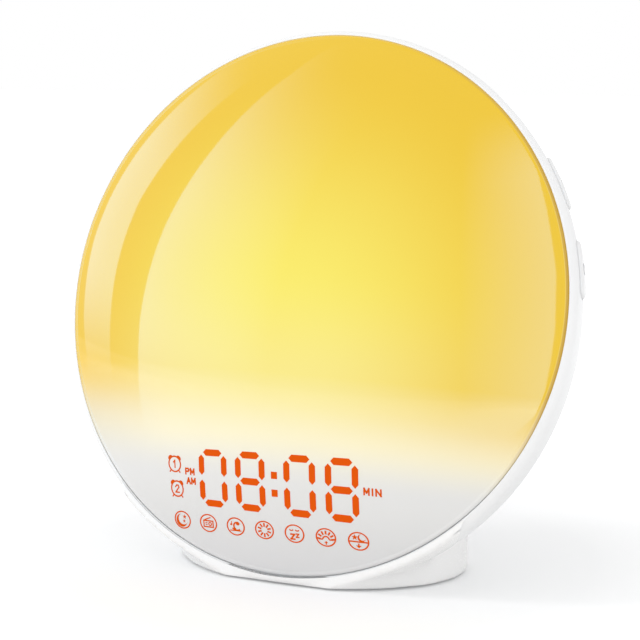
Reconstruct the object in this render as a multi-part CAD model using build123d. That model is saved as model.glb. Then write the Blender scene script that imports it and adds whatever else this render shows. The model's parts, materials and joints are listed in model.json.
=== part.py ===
from build123d import *
from functools import partial
from math import asin, cos, degrees, radians, sin, sqrt, tan
import os

# A round sunrise alarm clock. Everything is in millimetres. The origin is on the table,
# in the middle of the clock's width and depth, with +Z up and the face looking along -Y.
# Pieces of the leaning head are drawn in the head's own frame: its origin is the centre
# of the face's rim, -Y is the way the face looks and +Z runs up along the face.

# The head's place
face_tilt = 14.33             # degrees that the face leans back
face_radius = 85.0
rim_clearance = 0.2           # height of the rim's centre over the face's radius

# Front diffuser
dome_height = 21.1            # from the rim plane to the crown of the dome
diffuser_wall = 2.0
rim_edge = 0.8                # straight edge of the rim that stands in front of the lip
rim_rebate = 1.0              # depth of the rim inside the housing
skirt_depth = 2.4             # skirt behind the rim
skirt_wall = 1.6
skirt_inset = 0.6             # from the rim's edge to the skirt
fit_gap = 0.15                # between parts that slip into each other

# Rear housing: an oval bowl that leans more upright than the face
bowl_swell = 2.3              # how far the widest place stands out beyond the face
bowl_start = 2.5              # widest place, behind the rim plane
bowl_depth = 54.0             # half axis of the oval behind its widest place
bowl_lean = 0.13              # drop of the bowl's centre line for each millimetre of depth
back_share = 0.527            # radius of the flat round back, of the bowl's
lip_width = 1.5               # front lip outside the rim
lip_drop = 0.8                # chamfer of the lip
shell_wall = 2.2

# Stand base: an oval foot that the bowl sinks into
base_width_share = 0.5706     # half width and half depth of the foot, of the face's radius
base_depth_share = 0.4
base_centre = 10.8            # behind the rim's centre
base_round = 1.8              # rounding of the bottom edge
base_ledge = 5.0              # height of the solid ring around the plate
base_top_height = 15.0        # top surface above the table, at the base's centre
base_top_slope = 10.2         # degrees that the top falls towards the back
base_wall = 2.4
base_lift = 0.6               # gap between the base and the table
saddle_height = 4.0           # floor of the saddle that carries the housing
saddle_gap = 0.1
saddle_web = 1.0              # left above the heads of the screws in the saddle
trough_gap = 0.6              # around the rim and the skirt
cradle_wall = 1.2             # collar of the base that hugs the housing up to the rim
cradle_depth = 14.0           # behind the rim plane
cradle_half_width = 54.5      # at the rim's centre
cradle_taper = 21.5           # degrees that its ends turn inwards towards the back
cradle_top = 40.0
plate_inset = 8.5
plate_thick = 1.4
plate_gap = 0.2
foot_radius = 4.5
foot_thick = 1.3
foot_places = [(25.0, -3.0), (25.0, 24.0)]   # across, and behind the rim's centre
weight_size = (18.0, 11.0, 4.0)
weight_centre = 27.5

# Screws: head radius, head height, shaft radius, shaft length
small_screw = (1.9, 1.2, 0.95, 5.0)
base_screw = (2.6, 1.0, 1.2, 6.0)
case_screw = (2.8, 2.0, 1.35, 16.0)
screw_slot = 0.35             # of the head's radius
screw_round = 0.4             # of the head's height
thread_gap = 0.05
hole_gap = 0.25
cut_spare = 1.0               # how far a cut runs on past the face that it opens
base_screw_places = [(32.0, 12.0), (13.5, 30.5)]
stand_screw_places = [(18.0, -1.0), (13.0, 8.0)]
boss_radius = 3.2
stand_boss_height = 6.0

# Side keys and the snooze key on top, around the bowl
key_depth = 7.8               # centre of the keys behind the rim plane
key_angles = [11.0, 29.2]     # degrees above the horizontal, on each side
key_length = 17.6
snooze_length = 34.0
key_width = 7.2
key_proud = 1.0
snooze_proud = 0.7
key_travel = 0.6
key_gap = 0.25                # around the key in its opening
flange_rim = 0.5
flange_thick = 1.0
flange_gap = 0.3
key_boss_radius = 2.2
key_boss_length = 1.1
plunger_radius = 1.6
plunger_length = 2.2
plunger_gap = 0.05
switch_size = 6.0
switch_height = 3.4
switch_hole_spare = 0.2       # left under the plunger at the end of its travel
flex_thick = 0.3
flex_width = 6.4
carrier_thick = 2.0
carrier_width = 6.8
carrier_ear = 2.0
carrier_reach = 9.0           # degrees of the carrier beyond the key centres
snooze_reach = 15.0
flex_end_gap = 1.0            # degrees from a flex strip to the ears of its carrier

# Reflector dish behind the diffuser
dish_floor_depth = 8.0
dish_floor_inset = 19.0       # from the face's edge to the dish's flat floor
dish_rim_inset = 10.4         # and to the dish's rim
dish_rim_depth = 3.0
dish_wall = 1.6
dish_side_share = 1.2         # thickness of the sloping side measured across, of the wall's
dish_post_radius = 3.4
dish_post_places = (44.0, 35.0)
dish_post_centre = -5.2       # the bowl's centre line at the posts
dish_post_length = 23.4
counterbore_floor = 2.0

# Lamp board
lamp_board_radius = 42.0
lamp_board_height = 14.0      # its centre above the rim's centre
lamp_board_bore = 4.0
board_thick = 1.6
lamp_rings = [(16.0, 6), (35.0, 12)]
lamp_led_size = 3.5
lamp_led_height = 1.9
lamp_hole_radius = 3.0
stake_radius = 1.4
stake_head = 2.5              # the melted head that holds the lamp board
stake_height = 0.8
stake_ring = 26.0
stake_turns = (45.0, 135.0, 225.0, 315.0)

# Display: four digits, a colon and the rows of symbols
display_left = -41.5
display_right = 37.0
display_top = -43.0
display_bottom = -77.3
display_corner = 6.0
display_gap = 0.5             # around the display's shield in the reflector dish
display_edge_inset = 2.7      # from the face's edge
display_board_depth = 6.4
shield_gap = 0.4              # behind the diffuser's inner face
film_thick = 0.2
digit_left = -24.17           # left tip of the first digit's level segments
digit_pitch = 13.70
colon_pitch = 16.94
digit_tip_width = 6.90
segment_rows = [-49.68, -57.54, -65.35]
segment_width = 1.9
segment_gap = 0.5
symbol_left = -34.06
symbol_pitch = 10.30
symbol_row = -71.77
symbol_count = 7
symbol_radius = 3.0
alarm_symbol_places = [(-37.0, -49.6), (-37.0, -57.4)]
label_places = [(-31.0, -51.6), (-31.0, -54.6), (30.6, -53.6)]
label_size = (3.6, 1.6)
cell_led_size = 1.0
cell_led_height = 0.6
display_screw_places = [(-37.5, -65.5), (33.5, -66.0), (33.5, -47.0), (-31.5, -46.4)]

# Main board and what it carries
main_board_depth = 33.0
main_board_width = 68.0
main_board_top = -14.0
main_board_bottom = -52.0
main_post_places = [(-31.0, -17.0), (13.0, -17.0), (-31.0, -47.5), (31.0, -47.5)]
main_post_radius = 2.8
chip_size = (12.0, 1.4, 12.0)
chip_place = (-2.0, -32.0)
amplifier_size = (5.0, 1.5, 6.5)
amplifier_place = (22.0, -22.0)
radio_size = (16.0, 2.6, 12.0)
radio_place = (22.0, -36.0)
capacitor_radius = 3.0
capacitor_height = 8.0
capacitor_places = [(-17.0, -28.0), (-17.0, -37.0)]
connector_size = (14.0, 3.0, 3.6)
ribbon_thick = 0.4
ribbon_width = 11.0
connector_row = -48.0

# Things reached from the back
jack_place = (10.0, -36.0)
jack_body_radius = 4.5
jack_bore = 3.1
jack_pin_radius = 1.0
jack_pin_recess = 1.0
jack_bore_depth = 9.5
port_gap = 0.3
usb_place = (26.0, -20.0)
usb_width = 14.4
usb_height = 6.8
usb_shell = 0.35
usb_block_depth = 3.0
tongue_size = (11.2, 9.0, 1.8)
tongue_rise = 0.85            # above the socket's middle
port_recess = 0.2
reset_place = (-6.0, -38.0)
reset_radius = 1.4
reset_gap = 0.1
reset_recess = 0.5
reset_travel = 0.6
reset_collar_radius = 2.4
reset_collar_thick = 1.2
reset_collar_gap = 0.4
reset_tip_gap = 0.3
grommet_place = (-22.0, -38.5)
grommet_radius = 2.6
grommet_bore = 0.9
grommet_flange = 3.6
grommet_collar = 1.2
grommet_proud = 0.6
battery_place = (-15.0, -20.0)
cell_radius = 10.0
cell_thick = 3.2
cell_gap = 0.3
holder_rim = 1.4              # rim that the cover rests on
holder_wall = 1.4             # beyond the rim, against the back wall
holder_floor = 1.6
cover_gap = 0.2
cover_slot = (12.0, 1.6, 0.9)

# Speaker
speaker_height = 13.0         # its centre above the rim's centre
speaker_radius = 20.0
speaker_flange = 1.6
gasket_thick = 0.8
gasket_width = 1.8
basket_depth = 8.5
basket_base_radius = 12.4
basket_wall = 1.0
basket_side_share = 1.3       # thickness of the sloping side measured across, of the wall's
basket_ledge = 0.4
frame_bore = 17.6             # the cone's side of the flange
pole_radius = 4.2
pole_length = 3.0
magnet_radius = 11.0
magnet_depth = 6.0
coil_radius = 5.0
coil_length = 2.4
cone_edge_radius = 15.1
cone_thick = 0.5
cone_depth = 5.0
surround_radius = 1.5
surround_thick = 0.5
clamp_thick = 1.4
clamp_inner = 18.9
clamp_outer = 21.7
clamp_ear_radius = 3.4
clamp_ear_ring = 24.4
clamp_ear_turns = (90.0, 210.0, 330.0)
clamp_post_radius = 2.8
clamp_hole_web = 0.8          # left in the back behind the clamp's screw holes
grille_hole_radius = 1.1
grille_pitch = 4.2
grille_rings = 4

# Leads inside the case
lead_radius = 0.7
lead_bend = 3.0
lamp_lead_path = [(-25.0, 18.0, -8.0), (-25.0, 26.0, -21.0)]
speaker_lead_path = [(8.0, 24.0, 8.0), (8.0, 24.0, -20.0)]

# Worked out from the sizes above
face_height = face_radius + rim_clearance
bowl_radius = face_radius + bowl_swell
back_radius = bowl_radius * back_share
base_half_width = face_radius * base_width_share
base_half_depth = face_radius * base_depth_share
dish_floor_radius = face_radius - dish_floor_inset
dish_rim_radius = face_radius - dish_rim_inset
display_edge_radius = face_radius - display_edge_inset
dome_radius = (face_radius ** 2 + dome_height ** 2) / (2 * dome_height)
dome_centre = dome_radius - dome_height
rim_back = rim_rebate + skirt_depth
back_depth = bowl_start + bowl_depth * sqrt(1 - (back_radius / bowl_radius) ** 2)
back_inner = back_depth - shell_wall
back_centre = -bowl_lean * back_depth
tilt = radians(face_tilt)
front_reach = dome_centre * cos(tilt) - dome_radius
back_reach = max(
    back_depth * cos(tilt) + (back_centre + back_radius) * sin(tilt),
    base_centre + base_half_depth,
)
head_y = -(front_reach + back_reach) / 2
head = Pos(0, head_y, face_height) * Rot(X=-face_tilt)
span = 4 * bowl_radius
key_axis_z = -bowl_lean * key_depth
key_fall = (key_depth - bowl_start) / bowl_depth
key_surface = bowl_radius * sqrt(1 - key_fall ** 2)
flange_outer = -(shell_wall + flange_gap)     # from the bowl's surface
key_inner = flange_outer - flange_thick
boss_end = key_surface + key_inner - key_boss_length
plunger_end = boss_end - plunger_length
switch_top = boss_end - key_travel - switch_hole_spare
switch_base = switch_top - switch_height
carrier_outer = switch_base - flex_thick
carrier_inner = carrier_outer - carrier_thick
dish_back = dish_floor_depth + dish_wall
post_end = dish_back + dish_post_length
main_back = main_board_depth + board_thick
flange_back = back_inner - gasket_thick
speaker_front = flange_back - speaker_flange
clamp_front = speaker_front - clamp_thick
basket_front = speaker_front - basket_depth
ledge_top = speaker_front + basket_ledge
cone_front = ledge_top - cone_depth
port_end = back_depth - port_recess
reset_collar_back = back_inner - reset_collar_gap
reset_tip = main_back + switch_height + reset_tip_gap
cell_back = back_inner - cell_gap
cell_front = cell_back - cell_thick
plate_top = base_lift + plate_thick


def disc(radius, front, back, x=0.0, z=0.0):
    """A round bar along the head's depth."""
    return Pos(x, (front + back) / 2, z) * Rot(X=90) * Cylinder(radius, back - front)


def block(low, high):
    """A box between two corners."""
    size = [b - a for a, b in zip(low, high)]
    middle = [(a + b) / 2 for a, b in zip(low, high)]
    return Pos(*middle) * Box(*size)


def post(radius, low, high, x=0.0, y=0.0):
    """An upright round bar."""
    return Pos(x, y, (low + high) / 2) * Cylinder(radius, high - low)


def oval(half_x, half_y, low, high, y=0.0):
    """An upright oval bar."""
    return Pos(0, y, low) * extrude(Ellipse(half_x, half_y), high - low)


def turned(points):
    """A profile of (radius, depth) points turned about the head's axis."""
    return revolve(make_face(Polyline(*points, close=True)), Axis.Y)


def ball(radius, depth):
    """A ball on the head's axis."""
    return Pos(0, depth, 0) * Sphere(radius)


def beside(shape):
    """A piece and its mirror image on the other side of the clock."""
    return shape + mirror(shape, Plane.YZ)


def above(height):
    """Everything above a level over the table, in the head's frame."""
    return head.inverse() * (Pos(0, 0, height + span / 2) * Box(span, span, span))


def bowl(offset=0.0, lip=False):
    """The solid inside the bowl's surface, grown by offset, from the rim plane to the back."""
    radius = bowl_radius + offset
    depth = bowl_depth + offset
    rise = degrees(asin((back_depth + offset - bowl_start) / depth))
    side = EllipticalCenterArc((0, bowl_start), radius, depth, 0, arc_size=rise)
    back = side @ 1
    front = [(0, back.Y), (0, 0), (radius, 0), (radius, bowl_start)]
    if lip:
        edge = face_radius + lip_width
        front = [
            (0, back.Y),
            (0, 0),
            (face_radius, 0),
            (edge, lip_drop),
            (radius, bowl_start),
        ]
    outline = Polyline((back.X, back.Y), *front)
    solid = revolve(make_face(side + outline), Axis.Y)
    lean = Matrix([[1, 0, 0, 0], [0, 1, 0, 0], [0, -bowl_lean, 1, 0], [0, 0, 0, 1]])
    return Solid(solid.solid().transform_geometry(lean).wrapped)


def screw(kind):
    """A pan head screw: its shaft runs down from z = 0 and its head stands on z = 0."""
    head_radius, head_height, shaft_radius, shaft_length = kind
    slot = head_radius * screw_slot
    body = post(head_radius, 0, head_height)
    body = fillet(body.edges().group_by(Axis.Z)[-1], head_height * screw_round)
    body += post(shaft_radius, -shaft_length, 0)
    for turn in (0, 90):
        body -= Pos(0, 0, head_height) * Rot(Z=turn) * Box(3 * slot, slot, head_height)
    return body


def key_place(angle):
    """The frame of a key: +X points outwards, +Y backwards and Z along the key."""
    return Pos(0, key_depth, key_axis_z) * Rot(Y=-angle)


def stadium(length, width, low, high):
    """A bar with round ends along a key's X axis."""
    return Pos(low, 0, 0) * extrude(
        Plane.YZ * SlotOverall(length, width, rotation=90), high - low
    )


def key_list():
    """Name, angle, length and height of each key."""
    low, high = key_angles
    return [
        ("key_right_lower", low, key_length, key_proud),
        ("key_right_upper", high, key_length, key_proud),
        ("key_left_lower", 180 - low, key_length, key_proud),
        ("key_left_upper", 180 - high, key_length, key_proud),
        ("snooze_key", 90.0, snooze_length, snooze_proud),
    ]


def key_cap(angle, length, proud):
    """The cap that shows, its flange behind the wall and its boss."""
    place = key_place(angle)
    reach = key_surface + 2 * shell_wall
    cap = (place * stadium(length, key_width, carrier_inner, reach)) & bowl(proud)
    wide = length + 2 * flange_rim
    high = key_width + 2 * flange_rim
    flange = (place * stadium(wide, high, carrier_inner, reach)) & bowl(flange_outer)
    boss = place * Pos(boss_end, 0, 0) * Rot(Y=90) * Cylinder(
        key_boss_radius, 2 * shell_wall, align=(Align.CENTER, Align.CENTER, Align.MIN)
    )
    return (cap + flange - bowl(key_inner)) + boss


def key_plunger(angle):
    """The short pin between a key's boss and its switch."""
    bar = Rot(Y=90) * Cylinder(
        plunger_radius, plunger_length, align=(Align.CENTER, Align.CENTER, Align.MIN)
    )
    return key_place(angle) * Pos(plunger_end, 0, 0) * bar


def key_switch(angle):
    """A push switch with a bore that takes the plunger."""
    half = switch_size / 2
    body = block((switch_base, -half, -half), (switch_top, half, half))
    hole_end = plunger_end - key_travel - switch_hole_spare
    bore = Pos(hole_end, 0, 0) * Rot(Y=90) * Cylinder(
        plunger_radius + plunger_gap,
        switch_height,
        align=(Align.CENTER, Align.CENTER, Align.MIN),
    )
    return key_place(angle) * (body - bore)


def arc_band(inner, outer, width, start, end):
    """A curved strip around the keys' axis between two angles."""
    face = Plane.XY * Pos((inner + outer) / 2, 0) * Rectangle(outer - inner, width)
    band = Rot(Y=-end) * revolve(face, Axis.Y, revolution_arc=end - start)
    return Pos(0, key_depth, key_axis_z) * band


def key_carrier(start, end):
    """A curved bar that holds switches, with an ear at each end against the housing."""
    carrier = arc_band(carrier_inner, carrier_outer, carrier_width, start, end)
    ear_turn = degrees(carrier_ear / carrier_inner)
    room = bowl(-shell_wall - thread_gap)
    for first in (start, end - ear_turn):
        ear = arc_band(carrier_inner, bowl_radius, carrier_width, first, first + ear_turn)
        carrier += ear & room
    return carrier


def key_spans():
    """Angles that the three key carriers cover."""
    low = key_angles[0] - carrier_reach
    high = key_angles[1] + carrier_reach
    return {
        "right": (low, high),
        "left": (180 - high, 180 - low),
        "top": (90 - snooze_reach, 90 + snooze_reach),
    }


def key_flex():
    """The printed strips between the carriers and their switches."""
    inset = degrees(carrier_ear / carrier_inner) + flex_end_gap
    return [
        arc_band(carrier_outer, switch_base, flex_width, start + inset, end - inset)
        for start, end in key_spans().values()
    ]


def front_diffuser():
    """The milky dome with its rim, and the skirt that plugs it into the housing."""
    cap = disc(face_radius, -dome_height, rim_rebate) & ball(dome_radius, dome_centre)
    cap += disc(face_radius, -rim_edge, rim_rebate)
    inner = face_radius - skirt_inset - skirt_wall
    hollow = ball(dome_radius - diffuser_wall, dome_centre)
    hollow &= disc(inner, -dome_height, rim_rebate)
    cap -= hollow
    skirt = disc(face_radius - skirt_inset, rim_rebate, rim_back)
    return cap + skirt - disc(inner, 0, rim_back + fit_gap)


def display_outline(grow=0.0):
    """The display's window: a rounded rectangle inside the round edge, as a sketch."""
    width = display_right - display_left + 2 * grow
    height = display_top - display_bottom + 2 * grow
    middle = ((display_right + display_left) / 2, (display_top + display_bottom) / 2)
    window = Pos(*middle) * RectangleRounded(width, height, display_corner)
    return window & Circle(display_edge_radius + grow)


def along_depth(sketch, front, back):
    """A sketch of the face carried along the head's depth."""
    return Pos(0, back, 0) * extrude(Plane.XZ * sketch, back - front)


def bar_segment(x, z, length, upright):
    """A six-sided display segment as a sketch: length is from tip to tip."""
    half = length / 2
    wide = segment_width / 2
    points = [
        (-half, 0),
        (-half + wide, wide),
        (half - wide, wide),
        (half, 0),
        (half - wide, -wide),
        (-half + wide, -wide),
    ]
    if upright:
        points = [(b, a) for a, b in points]
    return Pos(x, z) * make_face(Polyline(*points, close=True))


def digit_centres():
    """Middle of each digit across the face."""
    start = digit_left + digit_tip_width / 2
    second_pair = digit_pitch + colon_pitch
    steps = [0, digit_pitch, second_pair, second_pair + digit_pitch]
    return [start + step for step in steps]


def segment_list():
    """The seven segments of each digit, then the colon's two squares."""
    top, middle, bottom = segment_rows
    cells = []
    for x in digit_centres():
        for z in segment_rows:
            cells.append(bar_segment(x, z, digit_tip_width, False))
        side = digit_tip_width / 2 + segment_gap
        for upper, lower in ((top, middle), (middle, bottom)):
            length = upper - lower - segment_gap
            for way in (-1, 1):
                z = (upper + lower) / 2
                cells.append(bar_segment(x + way * side, z, length, True))
    colon = (digit_centres()[1] + digit_centres()[2]) / 2
    for z in ((top + middle) / 2, (middle + bottom) / 2):
        cells.append(Pos(colon, z) * Rectangle(segment_width, segment_width))
    return cells


def symbol_centres():
    """The row of symbols, then the two alarm symbols."""
    row = [(symbol_left + step * symbol_pitch, symbol_row) for step in range(symbol_count)]
    return row + alarm_symbol_places


def display_cells():
    """Every light opening of the display as one sketch list."""
    cells = segment_list()
    for x, z in symbol_centres():
        cells.append(Pos(x, z) * Circle(symbol_radius))
    for x, z in label_places:
        cells.append(Pos(x, z) * Rectangle(*label_size))
    return cells


def display_shield():
    """The block of light wells behind the diffuser."""
    body = along_depth(display_outline(), -dome_height, display_board_depth)
    body &= ball(dome_radius - diffuser_wall - shield_gap - film_thick, dome_centre)
    cells = [along_depth(cell, -dome_height, display_board_depth) for cell in display_cells()]
    body = body.cut(*[part for cell in cells for part in cell.solids()])
    tip = dish_back - small_screw[3]
    for x, z in display_screw_places:
        body -= disc(small_screw[2] + thread_gap, tip - thread_gap, display_board_depth, x, z)
    return body


def display_film():
    """The dark printed film on the shield's front."""
    skin = along_depth(display_outline(-fit_gap), -dome_height, display_board_depth)
    outer = dome_radius - diffuser_wall - shield_gap
    return (skin & ball(outer, dome_centre)) - ball(outer - film_thick + thread_gap, dome_centre)


def display_board():
    """The board behind the shield."""
    back = display_board_depth + board_thick
    board = along_depth(display_outline(-fit_gap), display_board_depth, back)
    for x, z in display_screw_places:
        board -= disc(small_screw[2] + hole_gap, display_board_depth, back, x, z)
    return board


def led_places():
    """Centres of the lamps behind the display's cells."""
    return [(cell.center().X, cell.center().Y) for cell in display_cells()]


def display_leds():
    """A small lamp behind each cell."""
    half = cell_led_size / 2
    front = display_board_depth - cell_led_height
    return [
        block((x - half, front, z - half), (x + half, display_board_depth, z + half))
        for x, z in led_places()
    ]


def dish_post_list():
    """Places of the dish's four posts."""
    x, rise = dish_post_places
    return [(side * x, dish_post_centre + up * rise) for side in (-1, 1) for up in (-1, 1)]


def reflector_dish():
    """The white dish: it carries the lamps and the display and stands on four posts."""
    back = dish_back
    side = dish_wall * dish_side_share
    dish = turned(
        [
            (0, dish_floor_depth),
            (dish_floor_radius - side, dish_floor_depth),
            (dish_rim_radius - dish_wall, dish_rim_depth),
            (dish_rim_radius, dish_rim_depth),
            (dish_floor_radius, back),
            (0, back),
        ]
    )
    window = along_depth(display_outline(display_gap), -dome_height, dish_floor_depth)
    tray = along_depth(display_outline(-fit_gap), dish_floor_depth, back)
    dish = dish - window + tray
    for x, z in dish_post_list():
        dish += disc(dish_post_radius, back - dish_wall / 2, post_end, x, z)
        dish -= disc(case_screw[2] + thread_gap, post_end - case_screw[3], post_end, x, z)
    holes = [disc(lamp_hole_radius, 0, back, x, z) for x, z in lamp_led_places()]
    half_wide = connector_size[0] / 2 + fit_gap
    half_high = connector_size[2] / 2 + fit_gap
    slot = block(
        (-half_wide, 0, connector_row - half_high),
        (half_wide, back, connector_row + half_high),
    )
    dish = dish - holes - (slot & along_depth(display_outline(), dish_floor_depth, back))
    for x, z in stake_list():
        dish += disc(stake_radius, back - dish_wall / 2, back + board_thick, x, z)
        dish += disc(stake_head, back + board_thick, back + board_thick + stake_height, x, z)
    for x, z in display_screw_places:
        dish -= disc(small_screw[2] + hole_gap, dish_floor_depth, back, x, z)
    return dish


def lamp_led_places():
    """Rings of lamps around the lamp board's centre."""
    places = []
    for radius, count in lamp_rings:
        for step in range(count):
            turn = radians(360 * step / count)
            places.append((radius * cos(turn), lamp_board_height + radius * sin(turn)))
    return places


def stake_list():
    """Places of the melted stakes that hold the lamp board."""
    turns = [radians(turn) for turn in stake_turns]
    return [(stake_ring * cos(t), lamp_board_height + stake_ring * sin(t)) for t in turns]


def lamp_board():
    """The round board behind the dish."""
    back = dish_back + board_thick
    board = disc(lamp_board_radius, dish_back, back, 0, lamp_board_height)
    board -= disc(lamp_board_bore, dish_back, back, 0, lamp_board_height)
    for x, z in stake_list():
        board -= disc(stake_radius + fit_gap, dish_back, back, x, z)
    return board


def lamp_leds():
    """Square lamps that shine through the holes of the dish."""
    front = dish_back - lamp_led_height
    half = lamp_led_size / 2
    return [
        block((x - half, front, z - half), (x + half, dish_back, z + half))
        for x, z in lamp_led_places()
    ]


def main_board():
    """The board that the sockets and the chips stand on."""
    board = block(
        (-main_board_width / 2, main_board_depth, main_board_bottom),
        (main_board_width / 2, main_back, main_board_top),
    )
    for x, z in main_post_places:
        board -= disc(small_screw[2] + hole_gap, main_board_depth, main_back, x, z)
    return board


def speaker_clamp_places():
    """Places of the clamp's three ears."""
    turns = [radians(turn) for turn in clamp_ear_turns]
    return [
        (clamp_ear_ring * cos(turn), speaker_height + clamp_ear_ring * sin(turn))
        for turn in turns
    ]


def grille_holes():
    """Rings of round holes in front of the speaker cone."""
    through = (back_inner - cut_spare, back_depth + cut_spare)
    holes = [disc(grille_hole_radius, *through, 0, speaker_height)]
    for ring in range(1, grille_rings + 1):
        count = 6 * ring
        for step in range(count):
            turn = radians(360 * step / count)
            x = ring * grille_pitch * cos(turn)
            z = speaker_height + ring * grille_pitch * sin(turn)
            holes.append(disc(grille_hole_radius, *through, x, z))
    return holes


def rear_housing():
    """The bowl: a shell with the posts, rebates and openings for all that it holds."""
    floor = saddle_height + saddle_gap
    room = bowl(-shell_wall) & block((-span, rim_back, -span), (span, span, span))
    shell = (bowl(lip=True) & above(floor)) - (room & above(floor + shell_wall))
    # bosses, posts and collars grow out of the wall
    inner_bosses = []
    for x, z in dish_post_list():
        inner_bosses.append(disc(case_screw[0] + shell_wall, post_end, back_depth, x, z))
    for x, z in main_post_places:
        inner_bosses.append(disc(main_post_radius, main_back, back_depth, x, z))
    for x, z in speaker_clamp_places():
        inner_bosses.append(disc(clamp_post_radius, speaker_front, back_depth, x, z))
    solid_bowl = bowl(-shell_wall / 2)
    for boss in inner_bosses:
        shell += boss & solid_bowl
    boss_top = floor + shell_wall + stand_boss_height
    for x, y in stand_screw_places:
        boss = post(boss_radius, floor + shell_wall / 2, boss_top, x, head_y + y)
        shell += beside(head.inverse() * boss)
    # the diffuser's rebate and the bore for its skirt
    shell -= disc(face_radius + fit_gap, -cut_spare, rim_rebate)
    shell -= disc(face_radius - skirt_inset + fit_gap, 0, rim_back + fit_gap)
    # screw holes
    for x, z in dish_post_list():
        shell -= disc(case_screw[0] + hole_gap, post_end + counterbore_floor, 2 * back_depth, x, z)
        shell -= disc(case_screw[2] + hole_gap, post_end - cut_spare, back_depth, x, z)
    for x, z in main_post_places:
        shell -= disc(small_screw[2] + thread_gap, main_back, main_back + small_screw[3], x, z)
    hole_end = back_depth - clamp_hole_web
    for x, z in speaker_clamp_places():
        shell -= disc(small_screw[2] + thread_gap, speaker_front, hole_end, x, z)
    for x, y in stand_screw_places:
        bore = post(base_screw[2] + thread_gap, 0, floor + base_screw[3], x, head_y + y)
        shell -= beside(head.inverse() * bore)
    # key openings
    reach = key_surface + 2 * shell_wall
    for name, angle, length, proud in key_list():
        size = (length + 2 * key_gap, key_width + 2 * key_gap)
        shell -= key_place(angle) * stadium(*size, carrier_inner, reach)
    # ports and the grille in the flat back
    through = (back_inner - cut_spare, back_depth + cut_spare)
    shell = shell.cut(*[hole.solid() for hole in grille_holes()])
    shell -= disc(jack_body_radius + port_gap, *through, *jack_place)
    shell -= usb_box(*through, usb_width + 2 * port_gap, usb_height + 2 * port_gap)
    shell -= disc(reset_radius + reset_gap, *through, *reset_place)
    shell -= disc(grommet_radius + thread_gap, *through, *grommet_place)
    shell -= disc(cell_radius + cell_gap + holder_rim, *through, *battery_place)
    return shell


def stand_base():
    """The oval foot: a ring wall and a sloping top around the saddle."""
    y = head_y + base_centre
    tall = base_top_height + base_half_depth
    body = oval(base_half_width, base_half_depth, base_lift, tall, y)
    body = fillet(body.edges().group_by(Axis.Z)[0], base_round)
    top = Pos(0, y, base_top_height) * Rot(X=-base_top_slope)
    over = Pos(0, 0, span / 2) * Box(span, span, span)
    body -= top * over
    body += cradle()
    room_front = (-span, -saddle_gap, -span)
    housing = head * (bowl(saddle_gap) & block(room_front, (span, span, span)))
    raised = Pos(0, 0, saddle_height + span / 2) * Box(span, span, span)
    room = housing & raised
    body -= room
    body -= head * rim_trough(trough_gap)
    # hollow from below, but for a skin around the saddle and the trough
    inside = oval(base_half_width - base_wall, base_half_depth - base_wall, plate_top, tall, y)
    inside -= (top * Pos(0, 0, -base_wall)) * over
    inside -= head * bowl(saddle_gap + base_wall)
    inside -= head * rim_trough(trough_gap + base_wall)
    ledge = oval(base_half_width, base_half_depth, 0, base_ledge, y)
    inside -= ledge - oval(*plate_half_sizes(), 0, base_ledge, y)
    body -= inside
    body -= plate_blank(plate_gap)
    screw_end = base_lift + base_screw[1] + base_screw[3]
    for x, place in base_screw_places:
        boss = post(boss_radius, plate_top, tall, x, head_y + place)
        boss = boss - top * over - head * bowl(saddle_gap)
        body += beside(boss.solids().sort_by(Axis.Z)[0])
        bore = post(base_screw[2] + thread_gap, plate_top, screw_end, x, head_y + place)
        body -= beside(bore)
    sink_top = saddle_height - saddle_web
    for x, place in stand_screw_places:
        hole = post(base_screw[2] + hole_gap, plate_top, saddle_height, x, head_y + place)
        sink = post(base_screw[0] + hole_gap, plate_top, sink_top, x, head_y + place)
        body -= beside(hole + sink)
    return body


def cradle():
    """The collar around the housing: its ends lie on two upright planes."""
    collar = bowl(cradle_wall) & block((-span, 0, -span), (span, cradle_depth, 0))
    flange = disc(bowl_radius + cradle_wall, -rim_edge, 0)
    collar += flange & block((-span, -rim_edge, -span), (span, 0, 0))
    slope = tan(radians(cradle_taper))
    front = cradle_half_width + span * slope
    wedge = make_face(
        Polyline((-front, -span), (front, -span), (0, cradle_half_width / slope), close=True)
    )
    low = base_lift + base_round
    return (head * collar) & (Pos(0, head_y, low) * extrude(wedge, cradle_top - low))


def rim_trough(gap):
    """The space that the diffuser's rim and skirt need in the base."""
    rim = disc(face_radius + gap, -span / 2, rim_rebate + gap)
    return rim + disc(face_radius - skirt_inset + gap, 0, rim_back + gap)


def plate_half_sizes(grow=0.0):
    """Half width and half depth of the base plate."""
    inset = plate_inset - grow
    return base_half_width - inset, base_half_depth - inset


def plate_blank(grow=0.0):
    """The base plate without its holes."""
    return oval(*plate_half_sizes(grow), base_lift, plate_top, head_y + base_centre)


def base_plate():
    """The oval plate under the foot, with seats for the rubber feet."""
    plate = plate_blank()
    for x, y in foot_places:
        plate -= beside(post(foot_radius + fit_gap, 0, foot_thick, x, head_y + y))
    for x, y in base_screw_places:
        plate -= beside(post(base_screw[2] + hole_gap, 0, saddle_height, x, head_y + y))
        sink = post(base_screw[0] + hole_gap, 0, base_lift + base_screw[1], x, head_y + y)
        plate -= beside(sink)
    return plate


def rubber_feet():
    """Four round pads under the base plate."""
    feet = []
    for x, y in foot_places:
        for side in (-1, 1):
            foot = post(foot_radius, 0, foot_thick, side * x, head_y + y)
            feet.append(fillet(foot.edges().group_by(Axis.Z)[0], foot_thick / 4))
    return feet


def case_screws():
    """The four long screws that hold the housing on the dish's posts."""
    return [
        Pos(x, post_end + counterbore_floor, z) * Rot(X=-90) * screw(case_screw)
        for x, z in dish_post_list()
    ]


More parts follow.
